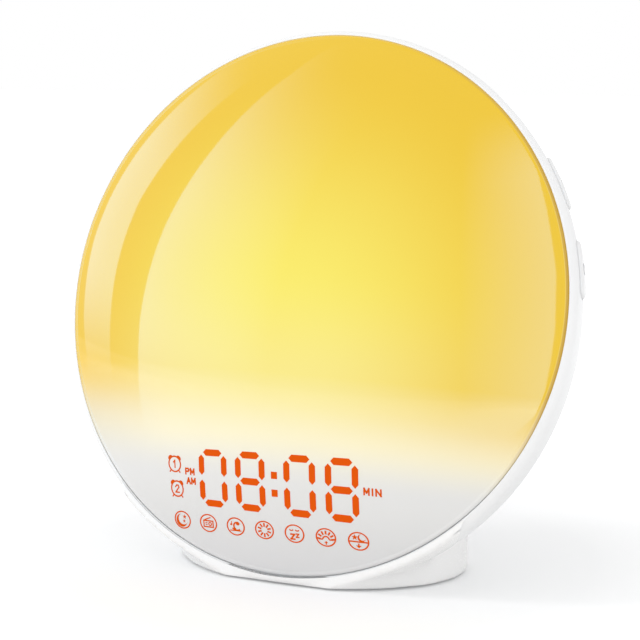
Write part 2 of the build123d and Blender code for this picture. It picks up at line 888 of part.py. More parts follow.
def board_screws(places, depth):
    """Screws whose heads lie on a board's front, pointing backwards."""
    return [Pos(x, depth, z) * Rot(X=90) * screw(small_screw) for x, z in places]


def display_screws():
    """The screws that hold the shield on the dish."""
    return [
        Pos(x, dish_back, z) * Rot(X=-90) * screw(small_screw)
        for x, z in display_screw_places
    ]


def upward_screws(places, height):
    """Screws of the base, heads down."""
    return [
        Pos(side * x, head_y + y, height) * Rot(X=180) * screw(base_screw)
        for x, y in places
        for side in (-1, 1)
    ]


def base_weight():
    """The steel block on the base plate that keeps the clock from tipping."""
    wide, deep, high = weight_size
    middle = head_y + weight_centre
    return block(
        (-wide / 2, middle - deep / 2, plate_top),
        (wide / 2, middle + deep / 2, plate_top + high),
    )


def on_board_front(size, place):
    """A part that stands on the main board's front."""
    x, z = place
    wide, deep, high = size
    return block(
        (x - wide / 2, main_board_depth - deep, z - high / 2),
        (x + wide / 2, main_board_depth, z + high / 2),
    )


def capacitors():
    """The smoothing capacitors on the main board."""
    front = main_board_depth - capacitor_height
    return [disc(capacitor_radius, front, main_board_depth, x, z) for x, z in capacitor_places]


def ribbon_connectors():
    """The two sockets of the ribbon, on the display board and on the main board."""
    wide, deep, high = connector_size
    front = display_board_depth + board_thick
    return [
        block(
            (-wide / 2, start, connector_row - high / 2),
            (wide / 2, start + deep, connector_row + high / 2),
        )
        for start in (front, main_board_depth - deep)
    ]


def display_ribbon():
    """The flat cable between the two connectors."""
    front = display_board_depth + board_thick + connector_size[1]
    back = main_board_depth - connector_size[1]
    half = ribbon_width / 2
    return block(
        (-half, front, connector_row - ribbon_thick / 2),
        (half, back, connector_row + ribbon_thick / 2),
    )


def dc_jack():
    """The power inlet's body with its bore."""
    x, z = jack_place
    side = jack_body_radius
    body = block((x - side, main_back, z - side), (x + side, back_inner - port_gap, z + side))
    body += disc(jack_body_radius, main_back, port_end, x, z)
    return body - disc(jack_bore, port_end - jack_bore_depth, port_end, x, z)


def dc_jack_pin():
    """The centre pin of the power inlet."""
    bore_floor = port_end - jack_bore_depth
    return disc(jack_pin_radius, bore_floor, port_end - jack_pin_recess, *jack_place)


def usb_box(front, back, wide, high, rise=0.0):
    """A box in the middle of the USB socket."""
    x, z = usb_place
    low = z + rise - high / 2
    return block((x - wide / 2, front, low), (x + wide / 2, back, low + high))


def usb_socket():
    """The folded metal shell of the USB socket."""
    bore = (usb_width - 2 * usb_shell, usb_height - 2 * usb_shell)
    return usb_box(main_back, port_end, usb_width, usb_height) - usb_box(main_back, port_end, *bore)


def usb_insert():
    """The plastic block and tongue inside the socket."""
    gap = 2 * (usb_shell + thread_gap)
    step = main_back + usb_block_depth
    insert = usb_box(main_back, step, usb_width - gap, usb_height - gap)
    wide, deep, high = tongue_size
    return insert + usb_box(step, step + deep, wide, high, tongue_rise)


def reset_button():
    """The small button in the back, with the collar that keeps it in."""
    button = disc(reset_radius, reset_tip, back_depth - reset_recess, *reset_place)
    collar_front = reset_collar_back - reset_collar_thick
    return button + disc(reset_collar_radius, collar_front, reset_collar_back, *reset_place)


def reset_switch():
    """The switch on the main board under the reset button."""
    x, z = reset_place
    half = switch_size / 2
    top = main_back + switch_height
    body = block((x - half, main_back, z - half), (x + half, top, z + half))
    return body - disc(reset_radius + reset_gap, top - 2 * reset_travel, top, x, z)


def antenna_grommet():
    """The bushing that the antenna wire leaves through."""
    front = back_inner - grommet_collar
    flange = disc(grommet_flange, front, back_inner, *grommet_place)
    barrel = disc(grommet_radius, front, back_depth + grommet_proud, *grommet_place)
    return flange + barrel - disc(grommet_bore, 0, 2 * back_depth, *grommet_place)


def battery_holder():
    """The cup of the coin cell, behind the back wall."""
    front = cell_front - cell_gap - holder_floor
    reach = cell_radius + cell_gap
    cup = disc(reach + holder_rim + holder_wall, front, back_inner, *battery_place)
    return cup - disc(reach, front + holder_floor, back_inner, *battery_place)


def battery_cover():
    """The round cover with a slot for a coin."""
    radius = cell_radius + cell_gap + holder_rim - cover_gap
    cover = disc(radius, back_inner, back_depth, *battery_place)
    wide, high, deep = cover_slot
    x, z = battery_place
    return cover - block(
        (x - wide / 2, back_depth - deep, z - high / 2), (x + wide / 2, back_depth, z + high / 2)
    )


def speaker_turned(points):
    """A profile turned about the speaker's own axis."""
    return Pos(0, 0, speaker_height) * turned(points)


def speaker_gasket():
    """The foam ring between the speaker and the back wall."""
    ring = disc(speaker_radius, flange_back, back_inner, 0, speaker_height)
    return ring - disc(speaker_radius - gasket_width, flange_back, back_inner, 0, speaker_height)


def speaker_frame():
    """The pressed basket with its flange."""
    ledge = frame_bore - surround_thick
    skin = basket_wall * basket_side_share
    hub = coil_radius + 2 * cone_thick
    return speaker_turned(
        [
            (frame_bore, flange_back),
            (speaker_radius, flange_back),
            (speaker_radius, speaker_front),
            (ledge + skin, speaker_front),
            (basket_base_radius, basket_front),
            (hub, basket_front),
            (hub, basket_front + basket_wall),
            (basket_base_radius - skin, basket_front + basket_wall),
            (ledge, speaker_front),
            (ledge, ledge_top),
            (frame_bore, ledge_top),
        ]
    )


def speaker_magnet():
    """The magnet behind the basket, and its pole inside the coil."""
    magnet = disc(magnet_radius, basket_front - magnet_depth, basket_front, 0, speaker_height)
    return magnet + disc(pole_radius, basket_front, basket_front + pole_length, 0, speaker_height)


def speaker_cone():
    """The paper cone with its voice coil and dust cap."""
    coil_end = cone_front - coil_length
    return speaker_turned(
        [
            (0, cone_front),
            (coil_radius - cone_thick, cone_front),
            (coil_radius - cone_thick, coil_end),
            (coil_radius, coil_end),
            (coil_radius, cone_front),
            (cone_edge_radius, ledge_top - cone_thick),
            (cone_edge_radius, ledge_top),
            (cone_edge_radius - surround_thick, ledge_top),
            (coil_radius, cone_front + cone_thick),
            (0, cone_front + cone_thick),
        ]
    )


def speaker_surround():
    """The half roll between the cone and the frame."""
    centre = Pos(frame_bore - surround_radius, ledge_top)
    roll = centre * (Circle(surround_radius) - Circle(surround_radius - surround_thick))
    roll &= centre * Pos(0, surround_radius) * Rectangle(4 * surround_radius, 2 * surround_radius)
    return Pos(0, 0, speaker_height) * revolve(roll, Axis.Y)


def speaker_clamp():
    """The ring that presses the speaker against the back wall."""
    ring = disc(clamp_outer, clamp_front, speaker_front, 0, speaker_height)
    for x, z in speaker_clamp_places():
        ring += disc(clamp_ear_radius, clamp_front, speaker_front, x, z)
    ring -= disc(clamp_inner, clamp_front, speaker_front, 0, speaker_height)
    for x, z in speaker_clamp_places():
        ring -= disc(small_screw[2] + hole_gap, clamp_front, speaker_front, x, z)
    return ring


def lead(start, path, end):
    """A round lead of straight runs joined by arcs."""
    route = FilletPolyline(start, *path, end, radius=lead_bend)
    section = Plane(origin=route @ 0, z_dir=route % 0) * Circle(lead_radius)
    return sweep(section, path=route)


def lamp_lead():
    """The lead from the lamp board to the main board."""
    first, last = lamp_lead_path
    start = (first[0], dish_back + board_thick, first[2])
    return lead(start, lamp_lead_path, (last[0], main_board_depth, last[2]))


def speaker_lead():
    """The lead from the speaker to the main board."""
    first, last = speaker_lead_path
    start = (first[0], basket_front - magnet_depth, first[2])
    return lead(start, speaker_lead_path, (last[0], main_board_depth, last[2]))


# Each node's pieces, in the head's frame
head_nodes = {
    "front_diffuser": front_diffuser,
    "rear_housing": rear_housing,
    "housing_screws": case_screws,
    "reflector_dish": reflector_dish,
    "lamp_board": lamp_board,
    "lamp_leds": lamp_leds,
    "lamp_lead": lamp_lead,
    "display_shield": display_shield,
    "display_film": display_film,
    "display_board": display_board,
    "display_leds": display_leds,
    "display_screws": display_screws,
    "ribbon_connectors": ribbon_connectors,
    "display_ribbon": display_ribbon,
    "main_board": main_board,
    "main_board_screws": lambda: board_screws(main_post_places, main_board_depth),
    "clock_chip": lambda: on_board_front(chip_size, chip_place),
    "audio_amplifier": lambda: on_board_front(amplifier_size, amplifier_place),
    "radio_module": lambda: on_board_front(radio_size, radio_place),
    "capacitors": capacitors,
    "dc_jack_body": dc_jack,
    "dc_jack_pin": dc_jack_pin,
    "usb_socket_shell": usb_socket,
    "usb_socket_tongue": usb_insert,
    "reset_button": reset_button,
    "reset_switch": reset_switch,
    "antenna_grommet": antenna_grommet,
    "battery_holder": battery_holder,
    "coin_cell": lambda: disc(cell_radius, cell_front, cell_back, *battery_place),
    "battery_cover": battery_cover,
    "speaker_gasket": speaker_gasket,
    "speaker_frame": speaker_frame,
    "speaker_magnet": speaker_magnet,
    "speaker_cone": speaker_cone,
    "speaker_surround": speaker_surround,
    "speaker_clamp": speaker_clamp,
    "speaker_screws": lambda: board_screws(speaker_clamp_places(), clamp_front),
    "speaker_lead": speaker_lead,
    "key_switches": lambda: [key_switch(angle) for name, angle, length, proud in key_list()],
    "key_flex_strips": key_flex,
}
for side, (start, end) in key_spans().items():
    head_nodes["key_carrier_" + side] = partial(key_carrier, start, end)
for name, angle, length, proud in key_list():
    spot = name.removeprefix("key_").removesuffix("_key")
    head_nodes[name] = partial(key_cap, angle, length, proud)
    head_nodes["plunger_" + spot] = partial(key_plunger, angle)

# Each node's pieces, upright on the table
stand_nodes = {
    "stand_base": stand_base,
    "base_plate": base_plate,
    "base_screws": lambda: upward_screws(base_screw_places, base_lift + base_screw[1]),
    "stand_screws": lambda: upward_screws(stand_screw_places, saddle_height - saddle_web),
    "base_weight": base_weight,
    "rubber_feet": rubber_feet,
}

os.makedirs("parts", exist_ok=True)
for nodes, place in ((head_nodes, head), (stand_nodes, Location())):
    for name, make in nodes.items():
        made = make()
        pieces = made if isinstance(made, list) else [made]
        solids = [place * solid for piece in pieces for solid in piece.solids()]
        node = solids[0] if len(solids) == 1 else Compound(children=solids)
        export_step(node, f"parts/{name}.step")
        print(name, len(solids), round(sum(solid.volume for solid in solids), 2))
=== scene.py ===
import json
import math
from contextlib import contextmanager

import bmesh
import bpy
import numpy as np
from mathutils import Matrix, Vector


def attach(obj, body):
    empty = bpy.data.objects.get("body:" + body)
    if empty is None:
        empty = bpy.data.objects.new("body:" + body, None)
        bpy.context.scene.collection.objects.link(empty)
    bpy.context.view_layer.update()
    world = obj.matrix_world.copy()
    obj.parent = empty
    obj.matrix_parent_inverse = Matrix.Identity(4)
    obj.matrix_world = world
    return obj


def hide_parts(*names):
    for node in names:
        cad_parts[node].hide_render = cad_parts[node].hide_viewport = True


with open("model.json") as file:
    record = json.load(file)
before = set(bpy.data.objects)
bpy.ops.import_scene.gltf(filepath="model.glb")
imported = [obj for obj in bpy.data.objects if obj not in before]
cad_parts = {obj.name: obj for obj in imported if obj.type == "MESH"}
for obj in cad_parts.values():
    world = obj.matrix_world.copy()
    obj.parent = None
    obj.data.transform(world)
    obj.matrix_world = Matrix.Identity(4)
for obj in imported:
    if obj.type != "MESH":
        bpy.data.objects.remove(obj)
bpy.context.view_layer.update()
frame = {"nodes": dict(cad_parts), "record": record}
mm = 0.001

# where the leaning head sits: its own frame has the rim's centre at the origin,
# -y the way the face looks and +z up along the face
head = {
    "tilt": math.radians(14.33),
    "centre": np.array([0.0, -15.3096, 85.2]),
}


def headToRow(points):
    # turns head points (n, 3) in mm about the x axis by the tilt, then moves them to the rim's centre
    c, s = math.cos(head["tilt"]), math.sin(head["tilt"])
    x, y, z = np.asarray(points, float).T
    return np.stack([x, y * c + z * s, z * c - y * s], 1) + head["centre"]


class Val:
    # a shader socket that takes part in plain arithmetic
    def __init__(self, mat, socket):
        self.mat = mat
        self.socket = socket

    def op(self, kind, other, flip=False, clamp=False):
        inputs = {0: other, 1: self} if flip else {0: self, 1: other}
        return self.mat.node("ShaderNodeMath", inputs, operation=kind, use_clamp=clamp)

    def __add__(self, other):
        return self.op("ADD", other)

    __radd__ = __add__

    def __sub__(self, other):
        return self.op("SUBTRACT", other)

    def __rsub__(self, other):
        return self.op("SUBTRACT", other, flip=True)

    def __mul__(self, other):
        return self.op("MULTIPLY", other)

    __rmul__ = __mul__

    def __truediv__(self, other):
        return self.op("DIVIDE", other)

    def __rtruediv__(self, other):
        return self.op("DIVIDE", other, flip=True)

    def __pow__(self, other):
        return self.op("POWER", other)

    def clamp(self):
        return self.op("ADD", 0.0, clamp=True)


class Mat:
    # the node tree of a material, or of the world, and the few calls that the finishes need
    def __init__(self, name, kind="Material"):
        self.data = (bpy.data.worlds if kind == "World" else bpy.data.materials).new(name)
        self.data.use_nodes = True
        self.tree = self.data.node_tree
        self.tree.nodes.clear()
        self.out = self.tree.nodes.new("ShaderNodeOutput" + kind)

    def feed(self, socket, value):
        if isinstance(value, Val):
            self.tree.links.new(value.socket, socket)
        elif isinstance(value, tuple) and socket.type == "RGBA":
            socket.default_value = (*value, 1.0)
        else:
            socket.default_value = value

    def node(self, kind, inputs=None, output=0, **settings):
        # a node of any type: settings first, then the values or links of its sockets
        node = self.tree.nodes.new(kind)
        for key, value in settings.items():
            setattr(node, key, value)
        for key, value in (inputs or {}).items():
            self.feed(node.inputs[key], value)
        return Val(self, node.outputs[output])

    def place(self):
        return self.node("ShaderNodeTexCoord", output="Object")

    def axes(self, vector=None):
        split = self.node("ShaderNodeSeparateXYZ", {0: vector or self.place()})
        return [Val(self, out) for out in split.socket.node.outputs]

    def mix(self, factor, first, second):
        return self.node("ShaderNodeMix", {0: factor, 6: first, 7: second}, 2, data_type="RGBA")

    def ramp(self, value, low, high, kind="LINEAR"):
        # 0 at low, 1 at high, even between them
        inputs = {0: value, 1: low, 2: high, 3: 0.0, 4: 1.0}
        return self.node("ShaderNodeMapRange", inputs, interpolation_type=kind)

    def ease(self, value, low, high):
        # 0 at low, 1 at high, smooth between them
        return self.ramp(value, low, high, "SMOOTHSTEP")

    def noise(self, scale, detail=3.0, rough=0.5):
        # scale is in features per metre
        inputs = {"Vector": self.place(), "Scale": scale, "Detail": detail, "Roughness": rough}
        return self.node("ShaderNodeTexNoise", inputs)

    def bump(self, height, strength, distance):
        inputs = {"Strength": strength, "Distance": distance, "Height": height}
        return self.node("ShaderNodeBump", inputs)

    def inView(self):
        # 1 for rays of the view, in mirrors and through glass, 0 for light that falls on things
        kinds = ("Is Camera Ray", "Is Glossy Ray", "Is Transmission Ray")
        return sum(self.node("ShaderNodeLightPath", output=kind) for kind in kinds).clamp()

    def done(self, shader):
        self.tree.links.new(shader.socket, self.out.inputs[0])
        return self.data

    def principled(self, **sockets):
        names = {
            "colour": "Base Color",
            "rough": "Roughness",
            "metal": "Metallic",
            "coat": "Coat Weight",
            "coatRough": "Coat Roughness",
            "ior": "IOR",
            "normal": "Normal",
            "glow": "Emission Color",
            "glowStrength": "Emission Strength",
        }
        inputs = {names[key]: value for key, value in sockets.items()}
        return self.done(self.node("ShaderNodeBsdfPrincipled", inputs))


def linear(r, g, b):
    # sRGB 0..255 to linear
    shares = (r / 255, g / 255, b / 255)
    return tuple(v / 12.92 if v <= 0.04045 else ((v + 0.055) / 1.055) ** 2.4 for v in shares)


def linked(name, data):
    item = bpy.data.objects.new(name, data)
    bpy.context.scene.collection.objects.link(item)
    return item


def finishPiece(name, mesh, material, body="case", smooth=True, angle=35.0):
    mesh.name = name
    mesh.materials.clear()
    mesh.materials.append(material)
    if smooth:
        mesh.polygons.foreach_set("use_smooth", [True] * len(mesh.polygons))
        mesh.set_sharp_from_angle(angle=math.radians(angle))
    piece = linked(name, mesh)
    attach(piece, body)
    return piece


@contextmanager
def editing(mesh):
    # a bmesh of the mesh, written back at the end of the block
    work = bmesh.new()
    work.from_mesh(mesh)
    yield work
    work.to_mesh(mesh)
    work.free()


def joinMeshes(meshes):
    joined = bpy.data.meshes.new("joined")
    with editing(joined) as work:
        for mesh in meshes:
            work.from_mesh(mesh)
    return joined


def solved(data, *steps):
    # the mesh of a curve, text or mesh after some modifiers, each a type with its settings
    item = linked("working", data)
    for kind, settings in steps:
        modifier = item.modifiers.new(kind, kind)
        for key, value in settings.items():
            setattr(modifier, key, value)
    bpy.context.view_layer.update()
    graph = bpy.context.evaluated_depsgraph_get()
    result = bpy.data.meshes.new_from_object(item.evaluated_get(graph))
    bpy.data.objects.remove(item)
    return result


def cut(mesh, cutter, kind="DIFFERENCE"):
    # a boolean of two closed meshes
    tool = linked("cutTool", cutter)
    result = solved(mesh, ("BOOLEAN", {"operation": kind, "solver": "EXACT", "object": tool}))
    bpy.data.objects.remove(tool)
    return result


def softened(mesh, voxel, turns):
    # evens the mesh out and melts its edges
    grid = ("REMESH", {"mode": "VOXEL", "voxel_size": voxel * mm})
    return solved(mesh, grid, ("SMOOTH", {"factor": 0.5, "iterations": turns}))


def flatCut(mesh, height):
    # trims a closed mesh to what lies above a level plane and caps it
    with editing(mesh) as work:
        result = bmesh.ops.bisect_plane(
            work,
            geom=work.verts[:] + work.edges[:] + work.faces[:],
            plane_co=(0, 0, height * mm),
            plane_no=(0, 0, 1),
            clear_inner=True,
        )
        edges = [e for e in result["geom_cut"] if isinstance(e, bmesh.types.BMEdge)]
        bmesh.ops.edgeloop_fill(work, edges=edges)
        bmesh.ops.recalc_face_normals(work, faces=work.faces)
    return mesh


def gridFaces(rows, columns, closed=True):
    # quads of a grid of points, row by row; closed joins the last column to the first
    across = np.arange(columns if closed else columns - 1)
    i, j = np.meshgrid(np.arange(rows - 1), across, indexing="ij")
    a = i * columns + j
    b = i * columns + (j + 1) % columns
    return np.stack([a, a + columns, b + columns, b], -1).reshape(-1, 4)


def cleanMesh(points, faces):
    # points in mm; merges doubled ones, drops empty faces and turns all faces outwards
    mesh = bpy.data.meshes.new("shape")
    faces = [tuple(int(k) for k in face) for face in faces]
    mesh.from_pydata((np.asarray(points) * mm).tolist(), [], faces)
    with editing(mesh) as work:
        bmesh.ops.remove_doubles(work, verts=work.verts, dist=2e-6)
        bmesh.ops.dissolve_degenerate(work, edges=work.edges, dist=1e-7)
        bmesh.ops.recalc_face_normals(work, faces=work.faces)
    mesh.update()
    return mesh


def turned(profile, steps, move=np.asarray):
    # a profile of (radius, depth) rows carried round the head's axis; a radius of 0 at an end closes
    # it to a pole. move shifts the head points before they go to the row frame
    profile = np.asarray(profile, float)
    angle = np.linspace(0, 2 * math.pi, steps, endpoint=False)
    r, y = profile[:, 0, None], profile[:, 1, None]
    points = np.stack([r * np.cos(angle), y + 0 * angle, r * np.sin(angle)], -1).reshape(-1, 3)
    return cleanMesh(headToRow(move(points)), gridFaces(len(profile), steps))


def lofted(rings, place=np.asarray):
    # a closed solid through rings of equally many points, with flat ends
    n = len(rings[0])
    points = place(np.vstack(rings))
    ends = [range(n), range(len(points) - 1, len(points) - n - 1, -1)]
    return cleanMesh(points, list(gridFaces(len(rings), n)) + ends)


def prism(outline, low, high, place=np.asarray):
    # a closed bar: an outline carried from low to high; place turns (a, b, depth) into row points
    depths = (np.full(len(outline), depth) for depth in (low, high))
    return lofted([np.column_stack([outline, depth]) for depth in depths], place)


def alongHead(points):
    # (x, z, depth) to the row frame
    return headToRow(points[:, [0, 2, 1]])


def boxOutline(halfWide, halfHigh):
    corners = np.array([(-1, -1), (1, -1), (1, 1), (-1, 1)], float)
    return corners * (halfWide, halfHigh)


def arcPoints(centre, radii, start, end, steps):
    # points on an oval arc, angles in degrees from the first axis
    angle = np.radians(np.linspace(start, end, steps))
    return np.stack([centre[0] + radii[0] * np.cos(angle), centre[1] + radii[1] * np.sin(angle)], 1)


def circle(radius, steps, x=0.0, z=0.0):
    angle = np.linspace(0, 2 * math.pi, steps, endpoint=False)
    return np.stack([x + radius * np.cos(angle), z + radius * np.sin(angle)], 1)


diffuser = {
    "radius": 85.0,
    "rise": 21.1,
    "wall": 2.0,
    "rimInset": 1.375,  # where the dome starts to roll over
    "rimCorner": -0.65,  # depth of the corner that the roll rounds off
    "rimBack": 0.55,
    "rebate": 1.0,
    "skirtRadius": 84.4,
    "skirtBack": 3.4,
    "skirtWall": 1.6,
    "steps": 360,
    "rows": 90,
    "rollRows": 10,
    "insideRows": 40,
}
domeRadius = (diffuser["radius"] ** 2 + diffuser["rise"] ** 2) / (2 * diffuser["rise"])
domeCentre = domeRadius - diffuser["rise"]


def domeDepth(u, w, lift=0.0):
    # depth of the dome's outer face at (u, w) across the face, lifted outwards by lift
    return domeCentre - np.sqrt((domeRadius + lift) ** 2 - np.asarray(u) ** 2 - np.asarray(w) ** 2)


def makeDiffuser(material):
    d = diffuser
    edge = d["radius"] - d["rimInset"]
    r = edge * np.sin(np.linspace(0, math.pi / 2, d["rows"]))
    dome = np.stack([r, domeDepth(r, 0)], 1)
    # the rim rolls over from the dome to its straight edge
    corner = np.array([d["radius"], d["rimCorner"]])
    rollEnd = np.array([d["radius"], d["rimBack"]])
    t = np.linspace(0, 1, d["rollRows"])[1:, None]
    roll = (1 - t) ** 2 * dome[-1] + 2 * t * (1 - t) * corner + t**2 * rollEnd
    step, end = d["rebate"], d["skirtBack"]
    outer, inner = d["skirtRadius"], d["skirtRadius"] - d["skirtWall"]
    back = [(d["radius"], step), (outer, step), (outer, end), (inner, end), (inner, step)]
    s = inner * np.sin(np.linspace(math.pi / 2, 0, d["insideRows"]))
    inside = np.stack([s, domeDepth(s, 0, -d["wall"])], 1)
    mesh = turned(np.vstack([dome, roll, back, inside]), d["steps"])
    piece = finishPiece("diffuser", mesh, material)
    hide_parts("front_diffuser")


housing = {
    "radius": 87.3,
    "start": 2.5,  # depth of the widest place
    "depth": 54.0,
    "back": 46.0,
    "lean": 0.13,
    "wall": 2.2,
    "lip": 86.5,
    "nose": [(0.0, 0.25), (0.12, 0.04), (0.35, 0.0), (0.6, 0.1)],
    "chamfer": [(0.0, 0.8), (0.35, 1.25), (0.6, 1.8)],
    "fit": 0.15,
    "floor": 4.1,
    "steps": 360,
}
housing["backDepth"] = housing["start"] + housing["depth"] * math.sqrt(
    1 - (housing["back"] / housing["radius"]) ** 2
)

ports = {
    "grille": {"z": 13.0, "radius": 1.1, "pitch": 4.2, "rings": 4},
    "jack": {"x": 10.0, "z": -36.0, "radius": 4.8},
    "usb": {"x": 26.0, "z": -20.0, "half": (7.5, 3.7)},
    "reset": {"x": -6.0, "z": -38.0, "radius": 1.5},
    "grommet": {"x": -22.0, "z": -38.5, "radius": 2.65},
    "battery": {"x": -15.0, "z": -20.0, "radius": 11.7},
    "screws": [(44.0, 29.8), (-44.0, 29.8), (44.0, -40.2), (-44.0, -40.2)],
    "well": {"radius": 3.05, "bottom": 35.0, "past": 6.0},
}

# the tube round each screw; the lower two stop short of the curved wall
collar = {
    "radii": (1.75, 3.1, 5.0),  # of the bore, the well and the outside
    "front": 33.0,
    "seat": 35.0,
    "intoWall": 0.6,
    "lowBack": 44.0,
    "steps": 36,
}

keys = {
    "depth": 7.8,
    "width": 7.2,
    "gap": 0.25,
    "bevel": 1.3,
    "bevelDrop": 0.75,  # share of its height that the bevel takes
    "bevelRows": 7,
    "faceRings": (0.999, 0.8, 0.6, 0.45),
    "sunk": -2.0,
    "wellReach": (74.0, 94.0),
    # angle round the rim, length, and how far each stands proud
    "each": {
        "key_right_lower": (11.0, 17.6, 1.0),
        "key_right_upper": (29.2, 17.6, 1.0),
        "key_left_lower": (169.0, 17.6, 1.0),
        "key_left_upper": (150.8, 17.6, 1.0),
        "snooze_key": (90.0, 34.0, 0.7),
    },
}


def bowlProfile(offset, rows, front=0.0):
    # rows of (radius, depth) from the front edge over the widest place to the flat back's edge
    h = housing
    radius, depth = h["radius"] + offset, h["depth"] + offset
    rise = math.degrees(math.asin((h["backDepth"] + offset - h["start"]) / depth))
    return np.vstack([[(radius, front)], arcPoints((0, h["start"]), (radius, depth), 0, rise, rows)])


def bowlRadial(offset, depth):
    # radius of the bowl's surface, before its lean, at a depth behind the rim plane
    h = housing
    share = (np.asarray(depth, float) - h["start"]) / (h["depth"] + offset)
    return (h["radius"] + offset) * np.sqrt(np.clip(1 - share**2, 0, 1))


def leaned(points):
    # the bowl's centre line drops with depth
    x, y, z = points.T
    return np.stack([x, y, z - housing["lean"] * y], 1)


def backLeaned(points):
    # the bore for the skirt stays true to the rim, and only the hollow behind it leans
    return np.where(points[:, 1:2] > diffuser["skirtBack"], leaned(points), points)


def keyPoints(local, angle):
    # (out, back, along) columns of a key's own frame to the head frame
    out, back, along = local.T
    c, s = math.cos(math.radians(angle)), math.sin(math.radians(angle))
    drop = housing["lean"] * keys["depth"]
    return np.stack([out * c - along * s, back + keys["depth"], out * s + along * c - drop], 1)


def stadium(length, grow, steps, straightRows=12):
    # (back, along) points round a key's outline, the same number for each grow so that rings match
    radius = keys["width"] / 2
    half = length / 2 - radius
    arc = np.linspace(0, math.pi, steps)
    top = np.stack([(radius + grow) * np.cos(arc), half + (radius + grow) * np.sin(arc)], 1)
    left = top[-1] - (top[0] + top[-1]) * np.linspace(0, 1, straightRows)[1:-1, None]
    return np.vstack([top, left, -top, -left])


def outAt(back, along, angle, offset):
    # how far out the bowl's surface, grown by offset, lies at (back, along) in a key's frame
    a = math.radians(angle)
    radius = bowlRadial(offset, back + keys["depth"])
    # the surface's centre at this depth is lower than the key frame's centre by the lean
    sink = -housing["lean"] * back
    across = along - sink * math.cos(a)
    return sink * math.sin(a) + np.sqrt(np.maximum(radius**2 - across**2, 0))


def pin(radius, front, back, x, z, steps=48):
    return prism(circle(radius, steps, x, z), front, back, alongHead)


def screwCollar(x, z):
    c = collar
    back = housing["backDepth"] - housing["wall"] + c["intoWall"] if z > 0 else c["lowBack"]
    bore, well, outside = c["radii"]
    front, seat = c["front"], c["seat"]
    rows = [(bore, front), (outside, front), (outside, back), (well, back), (well, seat), (bore, seat)]
    return turned(rows + rows[:1], c["steps"], lambda points: points + np.array([x, 0, z]))


def housingCutters():
    # the grille, the sockets' holes, the screw wells and the wells of the keys
    h = housing
    through = (h["backDepth"] - h["wall"] - 1, h["backDepth"] + 1)
    cutters = []
    grille = ports["grille"]
    for ring in range(grille["rings"] + 1):
        for x, z in circle(ring * grille["pitch"], max(1, 6 * ring), 0.0, grille["z"]):
            cutters.append(pin(grille["radius"], *through, x, z, 16))
    for name in ("jack", "reset", "grommet", "battery"):
        port = ports[name]
        cutters.append(pin(port["radius"], *through, port["x"], port["z"]))
    usb = ports["usb"]
    cutters.append(prism(boxOutline(*usb["half"]) + (usb["x"], usb["z"]), *through, alongHead))
    well = ports["well"]
    for x, z in ports["screws"]:
        cutters.append(pin(well["radius"], well["bottom"], h["backDepth"] + well["past"], x, z, 40))
    for angle, length, _ in keys["each"].values():
        outline = stadium(length, keys["gap"], 16)
        place = lambda p, angle=angle: headToRow(keyPoints(p[:, [2, 0, 1]], angle))
        cutters.append(prism(outline, *keys["wellReach"], place))
    return cutters


def makeHousing(material):
    h = housing
    seat, skirtEnd = diffuser["rebate"], diffuser["skirtBack"] + h["fit"]
    bore = diffuser["skirtRadius"] + h["fit"]
    rebate = diffuser["radius"] + h["fit"]
    # a small round nose at the lip, then a soft chamfer into the widest place
    nose = np.array(h["nose"]) + (rebate, 0)
    chamfer = np.array(h["chamfer"]) + (h["lip"], 0)
    front = [(0, seat), (bore, seat), (rebate, seat)]
    outer = np.vstack([front, nose, chamfer, bowlProfile(0, 90)[1:], [(0, h["backDepth"])]])
    shell = flatCut(turned(outer, h["steps"], leaned), h["floor"])
    inside = bowlProfile(-h["wall"], 60)
    inside = inside[inside[:, 1] > diffuser["skirtBack"]]
    step = float(bowlRadial(-h["wall"], skirtEnd))
    opening = [(0, -2), (bore, -2), (bore, skirtEnd), (step, skirtEnd)]
    hollow = np.vstack([opening, inside, [(0, h["backDepth"] - h["wall"])]])
    room = flatCut(turned(hollow, h["steps"], backLeaned), h["floor"] + h["wall"])
    mesh = cut(cut(shell, room), joinMeshes(housingCutters()))
    mesh = joinMeshes([mesh] + [screwCollar(x, z) for x, z in ports["screws"]])
    piece = finishPiece("housing", mesh, material, angle=40)
    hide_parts("rear_housing")


def makeKeys(material):
    for node, (angle, length, proud) in keys["each"].items():
        # rings from the middle of the outer face, over the bevel and down the side
        bevel = keys["bevel"] * proud
        rings = [(-keys["width"] / 2 * share, proud) for share in keys["faceRings"]]
        a = np.linspace(0, math.pi / 2, keys["bevelRows"])
        lift = proud * (1 - keys["bevelDrop"] * (1 - np.cos(a)))
        rings += [*zip(bevel * (np.sin(a) - 1), lift), (0.0, keys["sunk"])]
        rows = []
        for grow, lift in rings:
            outline = stadium(length, grow, 20)
            rows.append(np.column_stack([outAt(*outline.T, angle, lift), outline]))
        mesh = lofted(rows, lambda p, angle=angle: headToRow(keyPoints(p, angle)))
        piece = finishPiece(node + "_cap", mesh, material, node, angle=50)
        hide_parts(node)


base = {
    "halfWidth": 48.5,
    "halfDepth": 34.0,
    "behind": 10.8,  # from the rim's centre back to the foot's
    "bottom": 0.6,
    "round": 1.8,
    "topHeight": 15.0,
    "topSlope": math.tan(math.radians(10.2)),
    "topRound": 0.7,
    "saddle": 4.0,
    "gap": 0.1,
    "plateInset": 8.3,
    "plateTop": 2.0,
    # radius and depth of the room that the rim's lip has in front of the collar
    "trough": [(0, -40), (85.6, -40), (85.6, 1.6), (85.0, 1.6), (85.0, 4.0), (0, 4.0)],
    "steps": 240,
    "bendRows": 10,
    "spare": 6.0,
    # voxel size and turns of smoothing for the join, and for the whole after its trim
    "joinMelt": (0.9, 140),
    "wholeMelt": (0.7, 6),
}

